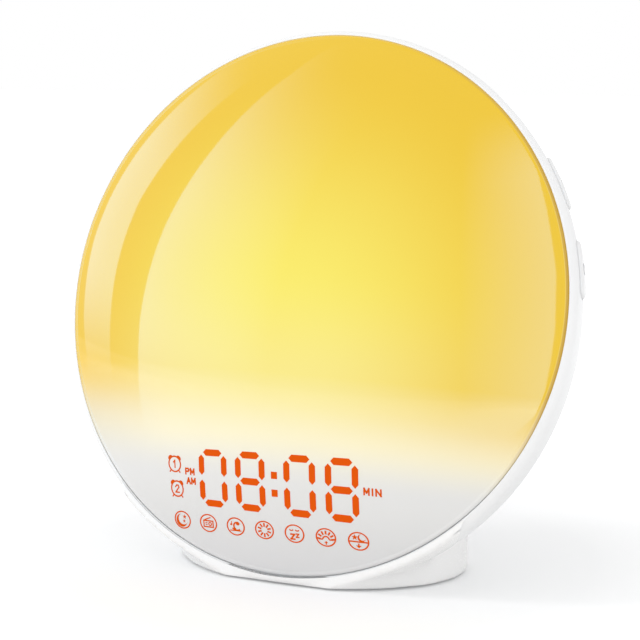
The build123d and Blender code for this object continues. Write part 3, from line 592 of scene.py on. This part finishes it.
# the collar that hugs the housing: its ends lie on two upright planes that close in to the back
cradle = {
    "wall": 0.7,
    "front": -0.4,
    "back": 14.0,
    "half": 54.5,
    "taper": math.tan(math.radians(21.5)),
    "top": 40.0,
    "rows": 24,
}
farOut = 150.0  # past everything, for what only trims


def byRim(points):
    # x and y from the rim's centre and heights from the ground, to the row frame
    return points + np.array([0, head["centre"][1], 0])


def byFoot(points):
    return byRim(points) + np.array([0, base["behind"], 0])


def baseFoot(longer=0.0):
    # the oval foot up to its sloping top; longer carries it on below the ground
    b = base
    around, sizes = circle(1.0, b["steps"]), np.array([b["halfWidth"], b["halfDepth"]])
    outwards = around / sizes
    outwards /= np.hypot(*outwards.T)[:, None]

    def ring(inset, height, slope=0.0):
        x, y = (around * sizes - outwards * inset).T
        return np.stack([x, y, height - slope * y], 1)

    bend = np.radians(np.linspace(0, 90, b["bendRows"]))
    bend = list(zip(1 - np.sin(bend), 1 - np.cos(bend)))
    r, low = b["round"], b["bottom"] - longer
    rings = [ring(r * s, low + r * c) for s, c in bend]
    r, high = b["topRound"], b["topHeight"]
    rings += [ring(r * c, high - r * s, b["topSlope"]) for s, c in bend]
    return lofted(rings, byFoot)


def baseCradle():
    # the collar with spare length in front and below
    c = cradle
    depth = np.linspace(housing["start"], c["back"], c["rows"])
    side = np.stack([bowlRadial(c["wall"], depth), depth], 1)
    front = housing["radius"] + c["wall"]
    start = c["front"] - base["spare"]
    profile = np.vstack([[(0, start), (front, start), (front, 0)], side, [(0, c["back"])]])
    wide = c["half"] + farOut * c["taper"]
    plan = [(-wide, -farOut), (wide, -farOut), (0, c["half"] / c["taper"])]
    wedge = prism(plan, -base["spare"], c["top"], byRim)
    return cut(turned(profile, housing["steps"], leaned), wedge, "INTERSECT")


def baseSolid():
    # foot and collar flow into each other, then the spare lengths come off
    b = base
    join = softened(joinMeshes([baseFoot(b["spare"]), baseCradle()]), *b["joinMelt"])
    front = cradle["front"]
    join = cut(join, turned([(0, -farOut), (farOut, -farOut), (farOut, front), (0, front)], 180))
    join = cut(join, prism(boxOutline(farOut, farOut), -farOut, b["bottom"]))
    return softened(joinMeshes([join, baseFoot()]), *b["wholeMelt"])


def makeBase(material):
    b = base
    gap = b["gap"]
    seat = np.vstack([[(0, -gap)], bowlProfile(gap, 80, -gap), [(0, housing["backDepth"] + gap)]])
    mesh = cut(baseSolid(), flatCut(turned(seat, housing["steps"], leaned), b["saddle"]))
    mesh = cut(mesh, turned(b["trough"], housing["steps"]))
    sizes = (b["halfWidth"] - b["plateInset"], b["halfDepth"] - b["plateInset"])
    mesh = cut(mesh, prism(circle(1.0, b["steps"]) * sizes, -3.0, b["plateTop"], byFoot))
    piece = finishPiece("standBase", mesh, material, angle=38)
    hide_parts("stand_base")


# figures, words and symbols lit on the dome, placed in mm across the face
display = {
    "lift": 0.05,
    "thick": 0.12,
    "rows": (-49.95, -57.7, -65.45),
    "left": -23.95,
    "pitch": 13.55,
    "colonPitch": 16.85,
    "colonRows": (-55.25, -60.4),
    "tip": 6.90,
    "upright": 6.3,
    "segment": 2.05,
    "gap": 0.75,
    "growFrom": -19.0,
    "grow": 0.00194,
    "symbolLeft": -33.7,
    "symbolPitch": 10.27,
    "symbolRow": -71.75,
    "symbolSize": (3.30, 2.78),
    "drawingScale": (1.04, 1.12),
    "line": 0.46,
    "bells": [(-35.4, -54.6, "1"), (-34.85, -62.2, "2")],
    "bellSize": 2.35,
    "words": [("PM", 1.7, -29.4, -56.45), ("AM", 1.7, -29.1, -59.35), ("MIN", 1.85, 32.9, -56.7)],
    "longEdge": 1.2,  # edges past this are divided so that they follow the dome
}

# capital letters as strokes in a cell 1 wide and 1 high, from its lower left corner
letters = {
    "A": [[(0, 0), (0.5, 1), (1, 0)], [(0.2, 0.36), (0.8, 0.36)]],
    "I": [[(0.5, 0), (0.5, 1)]],
    "M": [[(0, 0), (0, 1), (0.5, 0.3), (1, 1), (1, 0)]],
    "N": [[(0, 0), (0, 1), (1, 0), (1, 1)]],
    "P": [[(0, 0), (0, 1), (0.7, 1), (1, 0.78), (0.7, 0.5), (0, 0.5)]],
    "Z": [[(0, 1), (1, 1), (0, 0), (1, 0)]],
    "1": [[(0.25, 0.75), (0.55, 1), (0.55, 0)]],
    "2": [[(0.1, 0.75), (0.35, 1), (0.75, 1), (0.9, 0.72), (0.1, 0), (0.95, 0)]],
}
cellWidths = {"I": 0.5, "other": 0.78, "space": 0.34}


def flatMesh(outlines):
    # closed outlines in a plane, filled with their holes left open
    curve = bpy.data.curves.new("outlines", "CURVE")
    curve.dimensions = "2D"
    curve.fill_mode = "BOTH"
    for outline in outlines:
        spline = curve.splines.new("POLY")
        spline.points.add(len(outline) - 1)
        rest = np.tile((0.0, 1.0), (len(outline), 1))
        spline.points.foreach_set("co", np.hstack([outline, rest]).ravel())
        spline.use_cyclic_u = True
    return solved(curve)


def flatText(words, size, u, w):
    text = bpy.data.curves.new("words", "FONT")
    text.body = words
    text.size = size
    text.align_x = "CENTER"
    text.align_y = "CENTER"
    mesh = solved(text)
    mesh.transform(Matrix.Translation((u, w, 0)))
    return mesh


def layOn(name, flats, wrap, material, sheet, body="case"):
    # lays flat drawings on a surface, a little thick; wrap turns (a, b, lift) into row points
    flat = joinMeshes(flats)
    with editing(flat) as work:
        bmesh.ops.remove_doubles(work, verts=work.verts, dist=1e-4)
        bmesh.ops.triangulate(work, faces=work.faces)
        longEdges = [e for e in work.edges if e.calc_length() > display["longEdge"]]
        if longEdges:
            bmesh.ops.subdivide_edges(work, edges=longEdges, cuts=2, use_grid_fill=False)
            bmesh.ops.triangulate(work, faces=work.faces)
        made = bmesh.ops.extrude_face_region(work, geom=work.faces[:])
        top = [item for item in made["geom"] if isinstance(item, bmesh.types.BMVert)]
        bmesh.ops.translate(work, verts=top, vec=(0, 0, 1))
    points = np.empty(len(flat.vertices) * 3)
    flat.vertices.foreach_get("co", points)
    points = points.reshape(-1, 3)
    points[:, 2] = sheet["lift"] - np.where(points[:, 2] > 0.5, 0, sheet["thick"])
    flat.vertices.foreach_set("co", (wrap(points) * mm).ravel())
    with editing(flat) as work:
        bmesh.ops.recalc_face_normals(work, faces=work.faces)
    flat.update()
    return finishPiece(name, flat, material, body, smooth=False)


def onDome(points):
    # (u, w, lift) to the row frame, straight back along the head's depth onto the dome
    u, w, lift = points.T
    return headToRow(np.stack([u, domeDepth(u, w, lift), w], 1))


def spun(points, degrees):
    a = math.radians(degrees)
    return points @ np.array([[math.cos(a), math.sin(a)], [-math.sin(a), math.cos(a)]])


def stroke(points, width):
    # a line of even width along a path, as one outline
    points = np.asarray(points, float)
    step = np.gradient(points, axis=0)
    step /= np.linalg.norm(step, axis=1)[:, None]
    side = np.stack([-step[:, 1], step[:, 0]], 1) * width / 2
    return np.vstack([points + side, (points - side)[::-1]])


def polyStroke(points, width):
    # each straight run as a bar, a little longer at both ends
    bars = []
    for start, end in zip(points[:-1], points[1:]):
        way = (end - start) / np.linalg.norm(end - start) * width / 2
        bars.append(stroke([start - way * 0.9, end + way * 0.9], width))
    return bars


def strokeText(words, high, u, w, width=0.5):
    # words in plain strokes, centred on (u, w)
    cells = [cellWidths.get(letter, cellWidths["other"]) for letter in words]
    space = cellWidths["space"]
    left = u - (sum(cells) + space * (len(words) - 1)) * high / 2
    groups = []
    for letter, cell in zip(words, cells):
        for path in letters[letter]:
            points = np.array(path) * (cell * high, high) + (left, w - high / 2)
            groups += [[bar] for bar in polyStroke(points, width)]
        left += (cell + space) * high
    return groups


def arcStroke(u, w, radius, start, end, width, steps=16):
    return stroke(arcPoints((u, w), (radius, radius), start, end, steps), width)


def ringOutlines(u, w, radius, width, squash=1.0):
    # a ring as an outer and an inner outline; squash flattens it
    return [circle(radius + side * width / 2, 64) * (1, squash) + (u, w) for side in (1, -1)]


def starBurst(u, w, inner, outer, count, width, start=0.0, span=360.0):
    # short rays round a middle, each a group of its own
    angles = np.radians(start + np.linspace(0, span, count, endpoint=span < 360.0))
    ways = np.stack([np.cos(angles), np.sin(angles)], 1)
    return [[stroke([way * inner + (u, w), way * outer + (u, w)], width)] for way in ways]


def moonOutline(u, w, radius):
    # a crescent: a big arc and a shallower one back
    outer = arcPoints((0, 0), (radius, radius), 60, 300, 30)
    inner = arcPoints((radius * 0.42, 0), (radius * 0.93, radius * 0.87), 292, 68, 30)
    return spun(np.vstack([outer, inner]), 40) + (u, w)


def starOutline(u, w, radius):
    a = np.radians(90 + 36 * np.arange(10))
    r = np.where(np.arange(10) % 2 == 0, radius, radius * 0.42)
    return np.stack([u + r * np.cos(a), w + r * np.sin(a)], 1)


def arrow(u, w, length, way, wide):
    # a short thick arrow, way 1 up and -1 down, its tip at (u, w)
    tip = np.array([(-wide, -wide), (wide, -wide), (0, 0)]) * (1, way) + (u, w)
    return [[tip], [stroke([(u, w - way * wide * 0.8), (u, w - way * length)], 0.4)]]


def symbolDrawings():
    # sleep, radio, bird song, light, nap, sunrise and sunset, each about its own middle
    sleep = [[moonOutline(-0.35, -0.2, 2.1)]]
    sleep += [[starOutline(0.85, 1.1, 0.8)], [starOutline(0.6, -0.35, 0.6)]]
    radio = [
        [boxOutline(1.9, 1.2) + (0, -0.25), boxOutline(1.5, 0.8) + (0, -0.25)],
        ringOutlines(0.6, -0.25, 0.5, 0.34),
        [stroke([(-1.4, 0.95), (0.9, 1.9)], 0.36)],
        [stroke([(-1.1, 0.05), (-0.4, 0.05)], 0.3)],
        [stroke([(-1.1, -0.5), (-0.4, -0.5)], 0.3)],
    ]
    bird = [
        [stroke(arcPoints((0.45, 0.15), (1.1, 1.15), 250, 60, 20), 0.5)],
        [stroke(arcPoints((0.3, -0.2), (1.5, 1.0), 200, 320, 16), 0.5)],
        [circle(0.6, 20, 0.75, 1.0)],
        [np.array([(1.1, 1.2), (1.7, 0.95), (1.1, 0.8)])],
        [stroke([(-2.0, -1.35), (1.9, -1.35)], 0.34)],
        [stroke([(-1.35, 0.6), (-1.35, 1.55)], 0.3)],
        [circle(0.34, 16, -1.55, 0.55)],
    ]
    light = starBurst(0, 0, 1.05, 2.25, 10, 0.52, 90.0)
    nap = [[arcStroke(side, 1.55, 0.62, 205, 335, 0.36, 12)] for side in (-0.95, 0.9)]
    nap += strokeText("Z", 1.5, -0.6, -1.0, 0.5) + strokeText("Z", 1.05, 0.95, -0.55, 0.4)
    sunrise = [[arcStroke(0, -0.7, 1.0, 10, 170, 0.46)]]
    sunrise += [[stroke([(way, -0.65), (way * 2.2, -0.65)], 0.42)] for way in (-1, 1)]
    sunrise += starBurst(0, -0.7, 1.65, 2.8, 7, 0.55, 6.0, 168.0) + arrow(0, -1.1, 1.2, 1, 0.6)
    sunset = [[starOutline(-1.1, 1.15, 1.0)], [moonOutline(0.95, 1.1, 1.2)]]
    sunset += [[stroke([(-2.7, -0.2), (2.7, -0.2)], 0.46)]] + arrow(0, -2.2, 1.5, -1, 0.85)
    return [sleep, radio, bird, light, nap, sunrise, sunset]


def symbolSet():
    # the drawings in their flattened rings, side by side
    d = display
    wide, high = d["symbolSize"]
    squash = high / wide
    scale = (d["drawingScale"][0], d["drawingScale"][1] * squash)
    groups = []
    for step, drawing in enumerate(symbolDrawings()):
        place = (d["symbolLeft"] + d["symbolPitch"] * step, d["symbolRow"])
        groups.append(ringOutlines(*place, wide - d["line"] / 2, d["line"], squash))
        groups += [[outline * scale + place for outline in group] for group in drawing]
    return groups


def bellClock(u, w, figure):
    # a small twin-bell clock with a figure on it
    size = display["bellSize"]
    groups = [ringOutlines(u, w, size, 0.46)]
    for way in (-1, 1):
        bell = spun(arcPoints((0, 0), (0.95, 0.75), 0, 180, 16), -way * 40)
        groups.append([bell + (u + way * size * 0.72, w + size * 0.78)])
        foot = [(u + way * size * 0.66, w - size * 0.8), (u + way * size * 0.9, w - size * 1.1)]
        groups.append([stroke(foot, 0.4)])
    return groups + strokeText(figure, 2.2, u, w, 0.42)


def barOutline(u, w, length, upright):
    # a six-sided segment, length from tip to tip
    half, wide = length / 2, display["segment"] / 2
    inner = half - wide
    points = [(-half, 0), (-inner, wide), (inner, wide), (half, 0), (inner, -wide), (-inner, -wide)]
    points = np.array(points)
    return (points[:, ::-1] if upright else points) + (u, w)


def tall(outline):
    # the figures stand a little taller towards the right, over the same foot line
    u, w = outline.T
    foot = display["rows"][2]
    grown = 1 + display["grow"] * (u - display["growFrom"])
    return np.stack([u, foot + (w - foot) * grown], 1)


def digitOutlines(shown):
    # the lit segments of each figure and the two squares of the colon
    d = display
    top, middle, bottom = d["rows"]
    upper, lower = (top + middle) / 2, (middle + bottom) / 2
    side = d["tip"] / 2 + d["gap"]
    level, upright = (d["tip"], False), (d["upright"], True)
    places = {
        "a": (0, top, *level),
        "g": (0, middle, *level),
        "d": (0, bottom, *level),
        "f": (-side, upper, *upright),
        "b": (side, upper, *upright),
        "e": (-side, lower, *upright),
        "c": (side, lower, *upright),
    }
    lit = {"0": "abcdef", "8": "abcdefg"}
    first = d["left"] + d["tip"] / 2
    outlines = []
    for figure, step in zip(shown, np.cumsum([0, d["pitch"], d["colonPitch"], d["pitch"]])):
        outlines += [barOutline(*places[letter]) + (first + step, 0) for letter in lit[figure]]
    colon = first + d["pitch"] + d["colonPitch"] / 2
    square = boxOutline(d["segment"] / 2, d["segment"] / 2)
    outlines += [square + (colon, w) for w in d["colonRows"]]
    return [tall(outline) for outline in outlines]


def makeDisplay(material, symbolMaterial):
    digits = [flatMesh([outline]) for outline in digitOutlines("0808")]
    groups = symbolSet()
    for bell in display["bells"]:
        groups += bellClock(*bell)
    for words in display["words"]:
        groups += strokeText(*words)
    symbols = [flatMesh(group) for group in groups]
    piece = layOn("displayDigits", digits, onDome, material, display)
    piece = layOn("displaySymbols", symbols, onDome, symbolMaterial, display)


# prints on the keys and on the back; a word stands off its socket by a rise in mm
prints = {
    "lift": 0.04,
    "thick": 0.1,
    "words": [
        ("DC 5V", 3.0, "jack", 7.2),
        ("5V 1A", 3.0, "usb", 6.4),
        ("RESET", 2.4, "reset", -4.2),
        ("ANT", 2.6, "grommet", -5.6),
    ],
}


def onKey(node):
    # icon points (across, up, lift) to the row frame, read from outside with the clock upright
    angle, _, proud = keys["each"][node]
    # whole quarters between the print's upright and the key's own directions
    quarter = round(angle / 90 - 0.01) * math.pi / 2
    c, s = round(math.cos(quarter)), round(math.sin(quarter))

    def wrap(points):
        a, b, lift = points.T
        back, along = a * c + b * s, b * c - a * s
        out = outAt(back, along, angle, proud) + lift
        return headToRow(keyPoints(np.stack([out, back, along], 1), angle))

    return wrap


def onBack(points):
    # (across, up, lift) as read from behind, to the flat round back
    a, b, lift = points.T
    return headToRow(np.stack([-a, housing["backDepth"] + lift, b], 1))


def makePrints(material):
    minus, upright = (stroke(line, 0.45) for line in ([(-1.4, 0), (1.4, 0)], [(0, -1.4), (0, 1.4)]))
    icons = {
        "key_right_lower": [ringOutlines(0, 0, 1.55, 0.55)],
        "key_right_upper": [ringOutlines(0, 0, 0.75, 0.34)] + starBurst(0, 0, 1.25, 1.9, 8, 0.32),
        "key_left_lower": [[minus]],
        "key_left_upper": [[minus], [upright]],
        "snooze_key": strokeText("ZZZ", 2.6, 0, 0, 0.45),
    }
    for node, groups in icons.items():
        flats = [flatMesh(group) for group in groups]
        piece = layOn(node + "_print", flats, onKey(node), material, prints, node)
    flats = []
    for words, size, port, rise in prints["words"]:
        flats.append(flatText(words, size, -ports[port]["x"], ports[port]["z"] + rise))
    piece = layOn("backWords", flats, onBack, material, prints)


black = (0.0, 0.0, 0.0)

# light of the disc by place, u across and w up the face in mm; each pair of places is where a change
# begins and where it is complete
glow = {
    "amber": (0.83, 0.54, 0.008),
    "yellow": (0.92, 0.80, 0.115),
    "pale": (0.92, 0.79, 0.235),
    "cream": (0.93, 0.875, 0.66),
    "leftCream": (0.78, 0.74, 0.60),
    "white": (0.765, 0.762, 0.755),
    "shade": (0.695, 0.695, 0.70),
    # painted shade: the colour of the shadow in the gap at the rim
    "edge": (0.42, 0.24, 0.06),
    "middle": (3, -14),
    "spread": (60, 62),
    "warm": (0.15, 1.45),
    "paleToYellow": (-32, 10),
    "creamToLeft": (-36, -72),
    "whiteToCream": (-58, -42),
    "shadeToWhite": (-84, -56),
    "fade": (-53.5, -30.5),
    "fadeRight": (90, 5.0),  # reach across and by how much the fade sinks there
    "fadeLeft": (-60, 1.5),
    "lit": (-56, -24),
    # painted shade: where the rim's gap shadow lies, how it grows towards the right, and how strong it is
    "gapShadeRing": (84.1, 84.8),
    "gapShadeFrom": (10, 75),
    "gapShadeShare": 0.62,
    "ownColour": 0.3,
    "strength": 0.70,
}


def glowFinish():
    # milky plastic, lit from behind: amber, yellow in the middle, clear white at the foot
    g = glow
    m = Mat("milkyGlow")
    x, y, z = m.axes()
    c, s = math.cos(head["tilt"]), math.sin(head["tilt"])
    cy, cz = head["centre"][1] * mm, head["centre"][2] * mm
    u, w = x / mm, ((y - cy) * s + (z - cz) * c) / mm
    across, up = (u - g["middle"][0]) / g["spread"][0], (w - g["middle"][1]) / g["spread"][1]
    warm = m.ease((across**2.0 + up**2.0) ** 0.5, *g["warm"])
    tone = m.mix(warm, m.mix(m.ease(w, *g["paleToYellow"]), g["pale"], g["yellow"]), g["amber"])
    cream = m.mix(m.ramp(u, *g["creamToLeft"]), g["cream"], g["leftCream"])
    foot = m.mix(m.ease(w, *g["whiteToCream"]), g["white"], cream)
    foot = m.mix(m.ease(w, *g["shadeToWhite"]), g["shade"], foot)
    (right, sink), (left, rise) = g["fadeRight"], g["fadeLeft"]
    fade = m.ease(w + m.ramp(u, 0, right) * sink - m.ramp(u, 0, left) * rise, *g["fade"])
    tone = m.mix(fade, foot, tone)
    # painted shade: the disc's edge is darkened towards the right, standing in for the shadow in the gap
    # between disc and housing
    ring = m.ease((u * u + w * w) ** 0.5, *g["gapShadeRing"])
    tone = m.mix(ring * m.ramp(u, *g["gapShadeFrom"]) * g["gapShadeShare"], tone, g["edge"])
    lit = m.ramp(w, *g["lit"])
    skin = m.mix(lit, foot, m.mix(1 - g["ownColour"], tone, black))
    return m.principled(
        colour=m.mix(m.noise(30.0, 2.0) * 0.05, skin, black),
        rough=m.noise(900.0, 4.0, 0.6) * 0.015 + 0.035,
        coat=0.3,
        coatRough=0.02,
        ior=1.49,
        normal=m.bump(m.noise(60.0, 1.0), 0.012, 0.0004),
        glow=m.mix(lit, black, tone),
        glowStrength=g["strength"],
    )


def shaded(colour, share):
    return tuple(min(1.0, value * share) for value in colour)


def plasticFinish(name, colour, rough=0.35, grain=2200.0, depth=0.00003):
    # moulded plastic: a fine grain, a slow change of tone and of gloss
    m = Mat(name)
    fine = m.noise(grain, 4.0, 0.6)
    return m.principled(
        colour=m.mix(m.noise(22.0, 2.0), shaded(colour, 0.97), colour),
        rough=fine * 0.12 + (rough - 0.06),
        ior=1.47,
        normal=m.bump(fine, 0.25, depth),
    )


def metalFinish(name, colour, rough=0.3, metal=1.0):
    # metal with fine drawn marks and a little dullness in places
    m = Mat(name)
    marks = m.noise(900.0, 3.0, 0.7)
    return m.principled(
        colour=m.mix(m.noise(60.0, 2.0), shaded(colour, 0.86), colour),
        rough=marks * 0.22 + (rough - 0.1),
        metal=metal,
        normal=m.bump(marks, 0.2, 0.00004),
    )


def rubberFinish(name, colour):
    m = Mat(name)
    fine = m.noise(3000.0, 5.0, 0.7)
    return m.principled(
        colour=m.mix(m.noise(80.0, 2.0), colour, shaded(colour, 1.35)),
        rough=fine * 0.15 + 0.68,
        normal=m.bump(fine, 0.5, 0.00008),
    )


def boardFinish(name, mask, track):
    # solder mask with copper tracks just showing through
    m = Mat(name)
    inputs = {"Vector": m.place(), "Scale": 420.0}
    cells = m.node("ShaderNodeTexVoronoi", inputs, distance="MANHATTAN")
    tracks = m.ease(cells, 0.18, 0.30)
    return m.principled(
        colour=m.mix(tracks, track, mask),
        rough=m.noise(500.0) * 0.15 + 0.3,
        coat=0.4,
        normal=m.bump(tracks, 0.3, 0.00003),
    )


def inkFinish(name, colour, strength=0.53):
    # the orange light of the display, even with a faint unevenness
    m = Mat(name)
    light = m.mix(m.noise(260.0, 2.0), shaded(colour, 0.93), colour)
    return m.principled(
        colour=m.mix(0.5, light, black),
        rough=m.noise(900.0) * 0.05 + 0.3,
        ior=1.02,
        glow=light,
        glowStrength=strength,
    )


finishes = {
    "diffuser": glowFinish(),
    "housing": plasticFinish("housingWhite", (0.872, 0.874, 0.878), 0.34),
    "base": plasticFinish("baseWhite", (0.895, 0.892, 0.888), 0.26),
    "base_plate": plasticFinish("plateWhite", (0.78, 0.78, 0.78), 0.55, 1500.0, 0.00008),
    "keys": plasticFinish("keyWhite", (0.845, 0.845, 0.845), 0.30),
    "feet": rubberFinish("footRubber", (0.016, 0.016, 0.018)),
    "screws": metalFinish("zincScrew", (0.62, 0.62, 0.64), 0.32),
    "weight": metalFinish("ballastSteel", (0.10, 0.10, 0.105), 0.6),
    "reflector": plasticFinish("reflectorWhite", (0.90, 0.90, 0.89), 0.5),
    "shield": plasticFinish("shieldWhite", (0.80, 0.79, 0.76), 0.5),
    "display_film": plasticFinish("orangeFilm", (0.70, 0.16, 0.02), 0.25),
    "circuit_board": boardFinish("solderMask", (0.015, 0.12, 0.05), (0.03, 0.22, 0.09)),
    "leds": plasticFinish("phosphor", (0.88, 0.70, 0.28), 0.3),
    "lead_wire": plasticFinish("leadRed", (0.52, 0.02, 0.015), 0.4),
    "ribbon": plasticFinish("ribbonAmber", (0.50, 0.19, 0.03), 0.3),
    "black_plastic": plasticFinish("blackMoulding", (0.012, 0.012, 0.014), 0.42),
    "inner_plastic": plasticFinish("offWhiteMoulding", (0.68, 0.68, 0.66), 0.45),
    "metal_can": metalFinish("tinnedSheet", (0.60, 0.60, 0.62), 0.28),
    "brass_contact": metalFinish("platedBrass", (0.72, 0.50, 0.20), 0.24),
    "foam": rubberFinish("blackFoam", (0.02, 0.02, 0.022)),
    "speaker_frame": metalFinish("coatedSteel", (0.02, 0.02, 0.022), 0.45, 0.2),
    "magnet": metalFinish("ferrite", (0.05, 0.05, 0.052), 0.55, 0.4),
    "speaker_cone": rubberFinish("paperCone", (0.014, 0.014, 0.015)),
}
displayInk = inkFinish("displayOrange", linear(227, 88, 17))
symbolInk = inkFinish("symbolOrange", linear(221, 88, 20))
printInk = plasticFinish("greyInk", linear(150, 150, 152), 0.4)

slots = {item["node"]: item["material_slot"] for item in frame["record"]["subparts"]}
for node, item in frame["nodes"].items():
    item.data.materials.clear()
    item.data.materials.append(finishes[slots[node]])
print("finishes set on", len(slots), "nodes")

makers = {"diffuser": makeDiffuser, "housing": makeHousing, "keys": makeKeys, "base": makeBase}
for slot, make in makers.items():
    make(finishes[slot])
    print(slot, "made")
makeDisplay(displayInk, symbolInk)
print("display made")
makePrints(printInk)
print("prints made")

# directions are azimuth, 0 in front of the clock and 90 to its right, and elevation, from the
# middle of the clock
studio = {
    "ambient": 0.92,
    "middle": 0.085,
    "floorHalf": 6.0,
    "floorTone": 0.86,
    "floorLift": (0.13, 0.42),  # at the clock, and what comes to it further out
    "floorFade": (0.085, 0.32),
    "floorTint": (0.97, 1.0, 1.03),
    "lamps": {
        "topBox": {"to": (10, 62), "distance": 1.6, "size": (1.4, 1.4), "radiance": 0.2},
        "leftBox": {"to": (-65, 24), "distance": 1.5, "size": (0.32, 0.42), "radiance": 10.0},
        "frontBox": {"to": (40, 4), "distance": 1.6, "size": (0.8, 0.5), "radiance": 2.7},
    },
    # focal length and frame in pixels, and where it aims, in mm right of and above the rim's centre
    "view": {
        "to": (26.05, 8.0),
        "distance": 0.600,
        "focal": 1921.7,
        "frame": 640,
        "aim": (3.97, -5.67),
    },
}

# upright cards seen only in reflections: elevations and azimuths down both sides, the elevations
# where the light starts, is full, starts to go and is gone, and its strength at the two sides
cards = {
    "tone": (0.22, 0.88, 1.55),
    "distance": 2.2,
    "floorReach": 0.081,  # below the middle, just above the floor that the cards run on over
    "grid": (40, 60),
    "each": {
        "leftCard": {
            "left": (
                (-17, -7, 6, 20, 37, 46, 56, 63),
                (-60, -62.4, -64.6, -66.3, -67.2, -68.2, -69.8, -73),
            ),
            "right": ((-21, 68), (-28, -28)),
            "rise": (-21, 9, 26, 68),
            "light": (2.6, 0.0),
        },
        "edgeCard": {
            "left": ((-12, -4, 1.5, 7, 12, 18, 26, 52), (-78, -81.3, -84.5, -87, -89, -90.2, -90.8, -91)),
            "right": ((-12, -3, 4, 10, 16, 22, 52), (-69.5, -72.6, -74.6, -76.4, -77.8, -79, -79)),
            "rise": (-9, 11, 25, 51),
            "light": (2.0, 2.0),
        },
        "rightCard": {
            "left": ((-14, 66), (18, 14)),
            "right": (
                (-14, 1, 8, 14, 21, 26, 40, 50, 60),
                (34.5, 35.1, 36.5, 37.6, 38.3, 39, 39, 38.4, 33.5),
            ),
            "rise": (-14, 0, 46, 66),
            "light": (0.0, 2.3),
        },
    },
}


def directions(azimuth, elevation):
    # unit vectors, for numbers or arrays in degrees
    a, e = np.radians(azimuth), np.radians(elevation)
    return np.stack([np.sin(a) * np.cos(e), -np.cos(a) * np.cos(e), np.sin(e)], -1)


def makeFloor():
    mesh = bpy.data.meshes.new("floor")
    corners = boxOutline(studio["floorHalf"], studio["floorHalf"])
    mesh.from_pydata([(x, y, 0) for x, y in corners], [], [range(4)])
    m = Mat("floorPaper")
    # some light of its own for the view, none for the clock
    x, y = m.axes()[:2]
    near, more = studio["floorLift"]
    lift = m.ramp((x * x + y * y) ** 0.5, *studio["floorFade"]) * more + near
    diffuse = m.node("ShaderNodeBsdfDiffuse", {"Color": (studio["floorTone"],) * 3})
    light = m.node("ShaderNodeEmission", {"Color": studio["floorTint"], "Strength": m.inView() * lift})
    mesh.materials.append(m.done(m.node("ShaderNodeAddShader", {0: diffuse, 1: light})))
    linked("floor", mesh)


def makeWorld():
    # white in view, a little darker as light
    m = Mat("studioWorld", "World")
    strength = m.inView() * (1 - studio["ambient"]) + studio["ambient"]
    back = m.node("ShaderNodeBackground", {"Color": (1.0, 1.0, 1.0), "Strength": strength})
    bpy.context.scene.world = m.done(back)


def makeLamp(name, to, distance, size, radiance):
    # a soft box that looks at the clock
    way = Vector(directions(*to))
    light = bpy.data.lights.new(name, "AREA")
    light.shape = "RECTANGLE"
    light.size, light.size_y = size
    light.energy = radiance * math.pi * size[0] * size[1]
    item = linked(name, light)
    item.location = way * distance + Vector((0, 0, studio["middle"]))
    item.rotation_euler = (-way).to_track_quat("-Z", "Y").to_euler()
    item.visible_glossy = False


def makeCard(name, card):
    wide, high = cards["grid"]
    rise = card["rise"]
    up = np.linspace(rise[0], rise[3], high)
    left, right = (np.interp(up, *card[side]) for side in ("left", "right"))
    share = np.linspace(0, 1, wide)[:, None]
    points = directions(left * (1 - share) + right * share, up + 0 * share)
    # the lower end runs on over the floor
    below = np.maximum(-points[..., 2], 1e-6)
    reach = np.where(points[..., 2] < 0, cards["floorReach"] / below, cards["distance"])
    points *= np.minimum(reach, cards["distance"])[..., None]
    points[..., 2] += studio["middle"]
    mesh = bpy.data.meshes.new(name)
    mesh.from_pydata(points.reshape(-1, 3).tolist(), [], gridFaces(wide, high, False).tolist())
    loops = np.empty(len(mesh.loops), dtype=np.int32)
    mesh.loops.foreach_get("vertex_index", loops)
    places = np.stack(np.divmod(loops, high), 1) / (wide - 1, high - 1)
    mesh.uv_layers.new(name="card").data.foreach_set("uv", places.ravel())
    m = Mat(name + "Glow")
    s, r = m.axes(m.node("ShaderNodeUVMap", uv_map="card"))[:2]
    full, going = ((rise[k] - rise[0]) / (rise[3] - rise[0]) for k in (1, 2))
    level = (1 - s) * card["light"][0] + s * card["light"][1]
    level = level * (m.ease(r, 0.0, full) * (1 - m.ease(r, going, 1.0)))
    light = m.node("ShaderNodeEmission", {"Color": cards["tone"], "Strength": level})
    clear = m.node("ShaderNodeBsdfTransparent")
    mesh.materials.append(m.done(m.node("ShaderNodeAddShader", {0: light, 1: clear})))
    item = linked(name, mesh)
    item.visible_camera = False
    item.visible_diffuse = False
    item.visible_shadow = False


def makeCamera():
    view = studio["view"]
    back = Vector(directions(*view["to"]))
    side = Vector((0, 0, 1)).cross(back).normalized()
    data = bpy.data.cameras.new("view")
    data.sensor_fit = "HORIZONTAL"
    data.lens = view["focal"] / view["frame"] * data.sensor_width
    data.clip_end = 50
    item = linked("view", data)
    across, up = view["aim"]
    aim = Vector(head["centre"]) + side * across + back.cross(side) * up
    item.location = aim * mm + back * view["distance"]
    item.rotation_euler = back.to_track_quat("Z", "Y").to_euler()
    bpy.context.scene.camera = item


makeFloor()
makeWorld()
for name, lamp in studio["lamps"].items():
    makeLamp(name, **lamp)
for name, card in cards["each"].items():
    makeCard(name, card)
makeCamera()
bpy.context.scene.view_settings.view_transform = "Standard"
print("studio set")
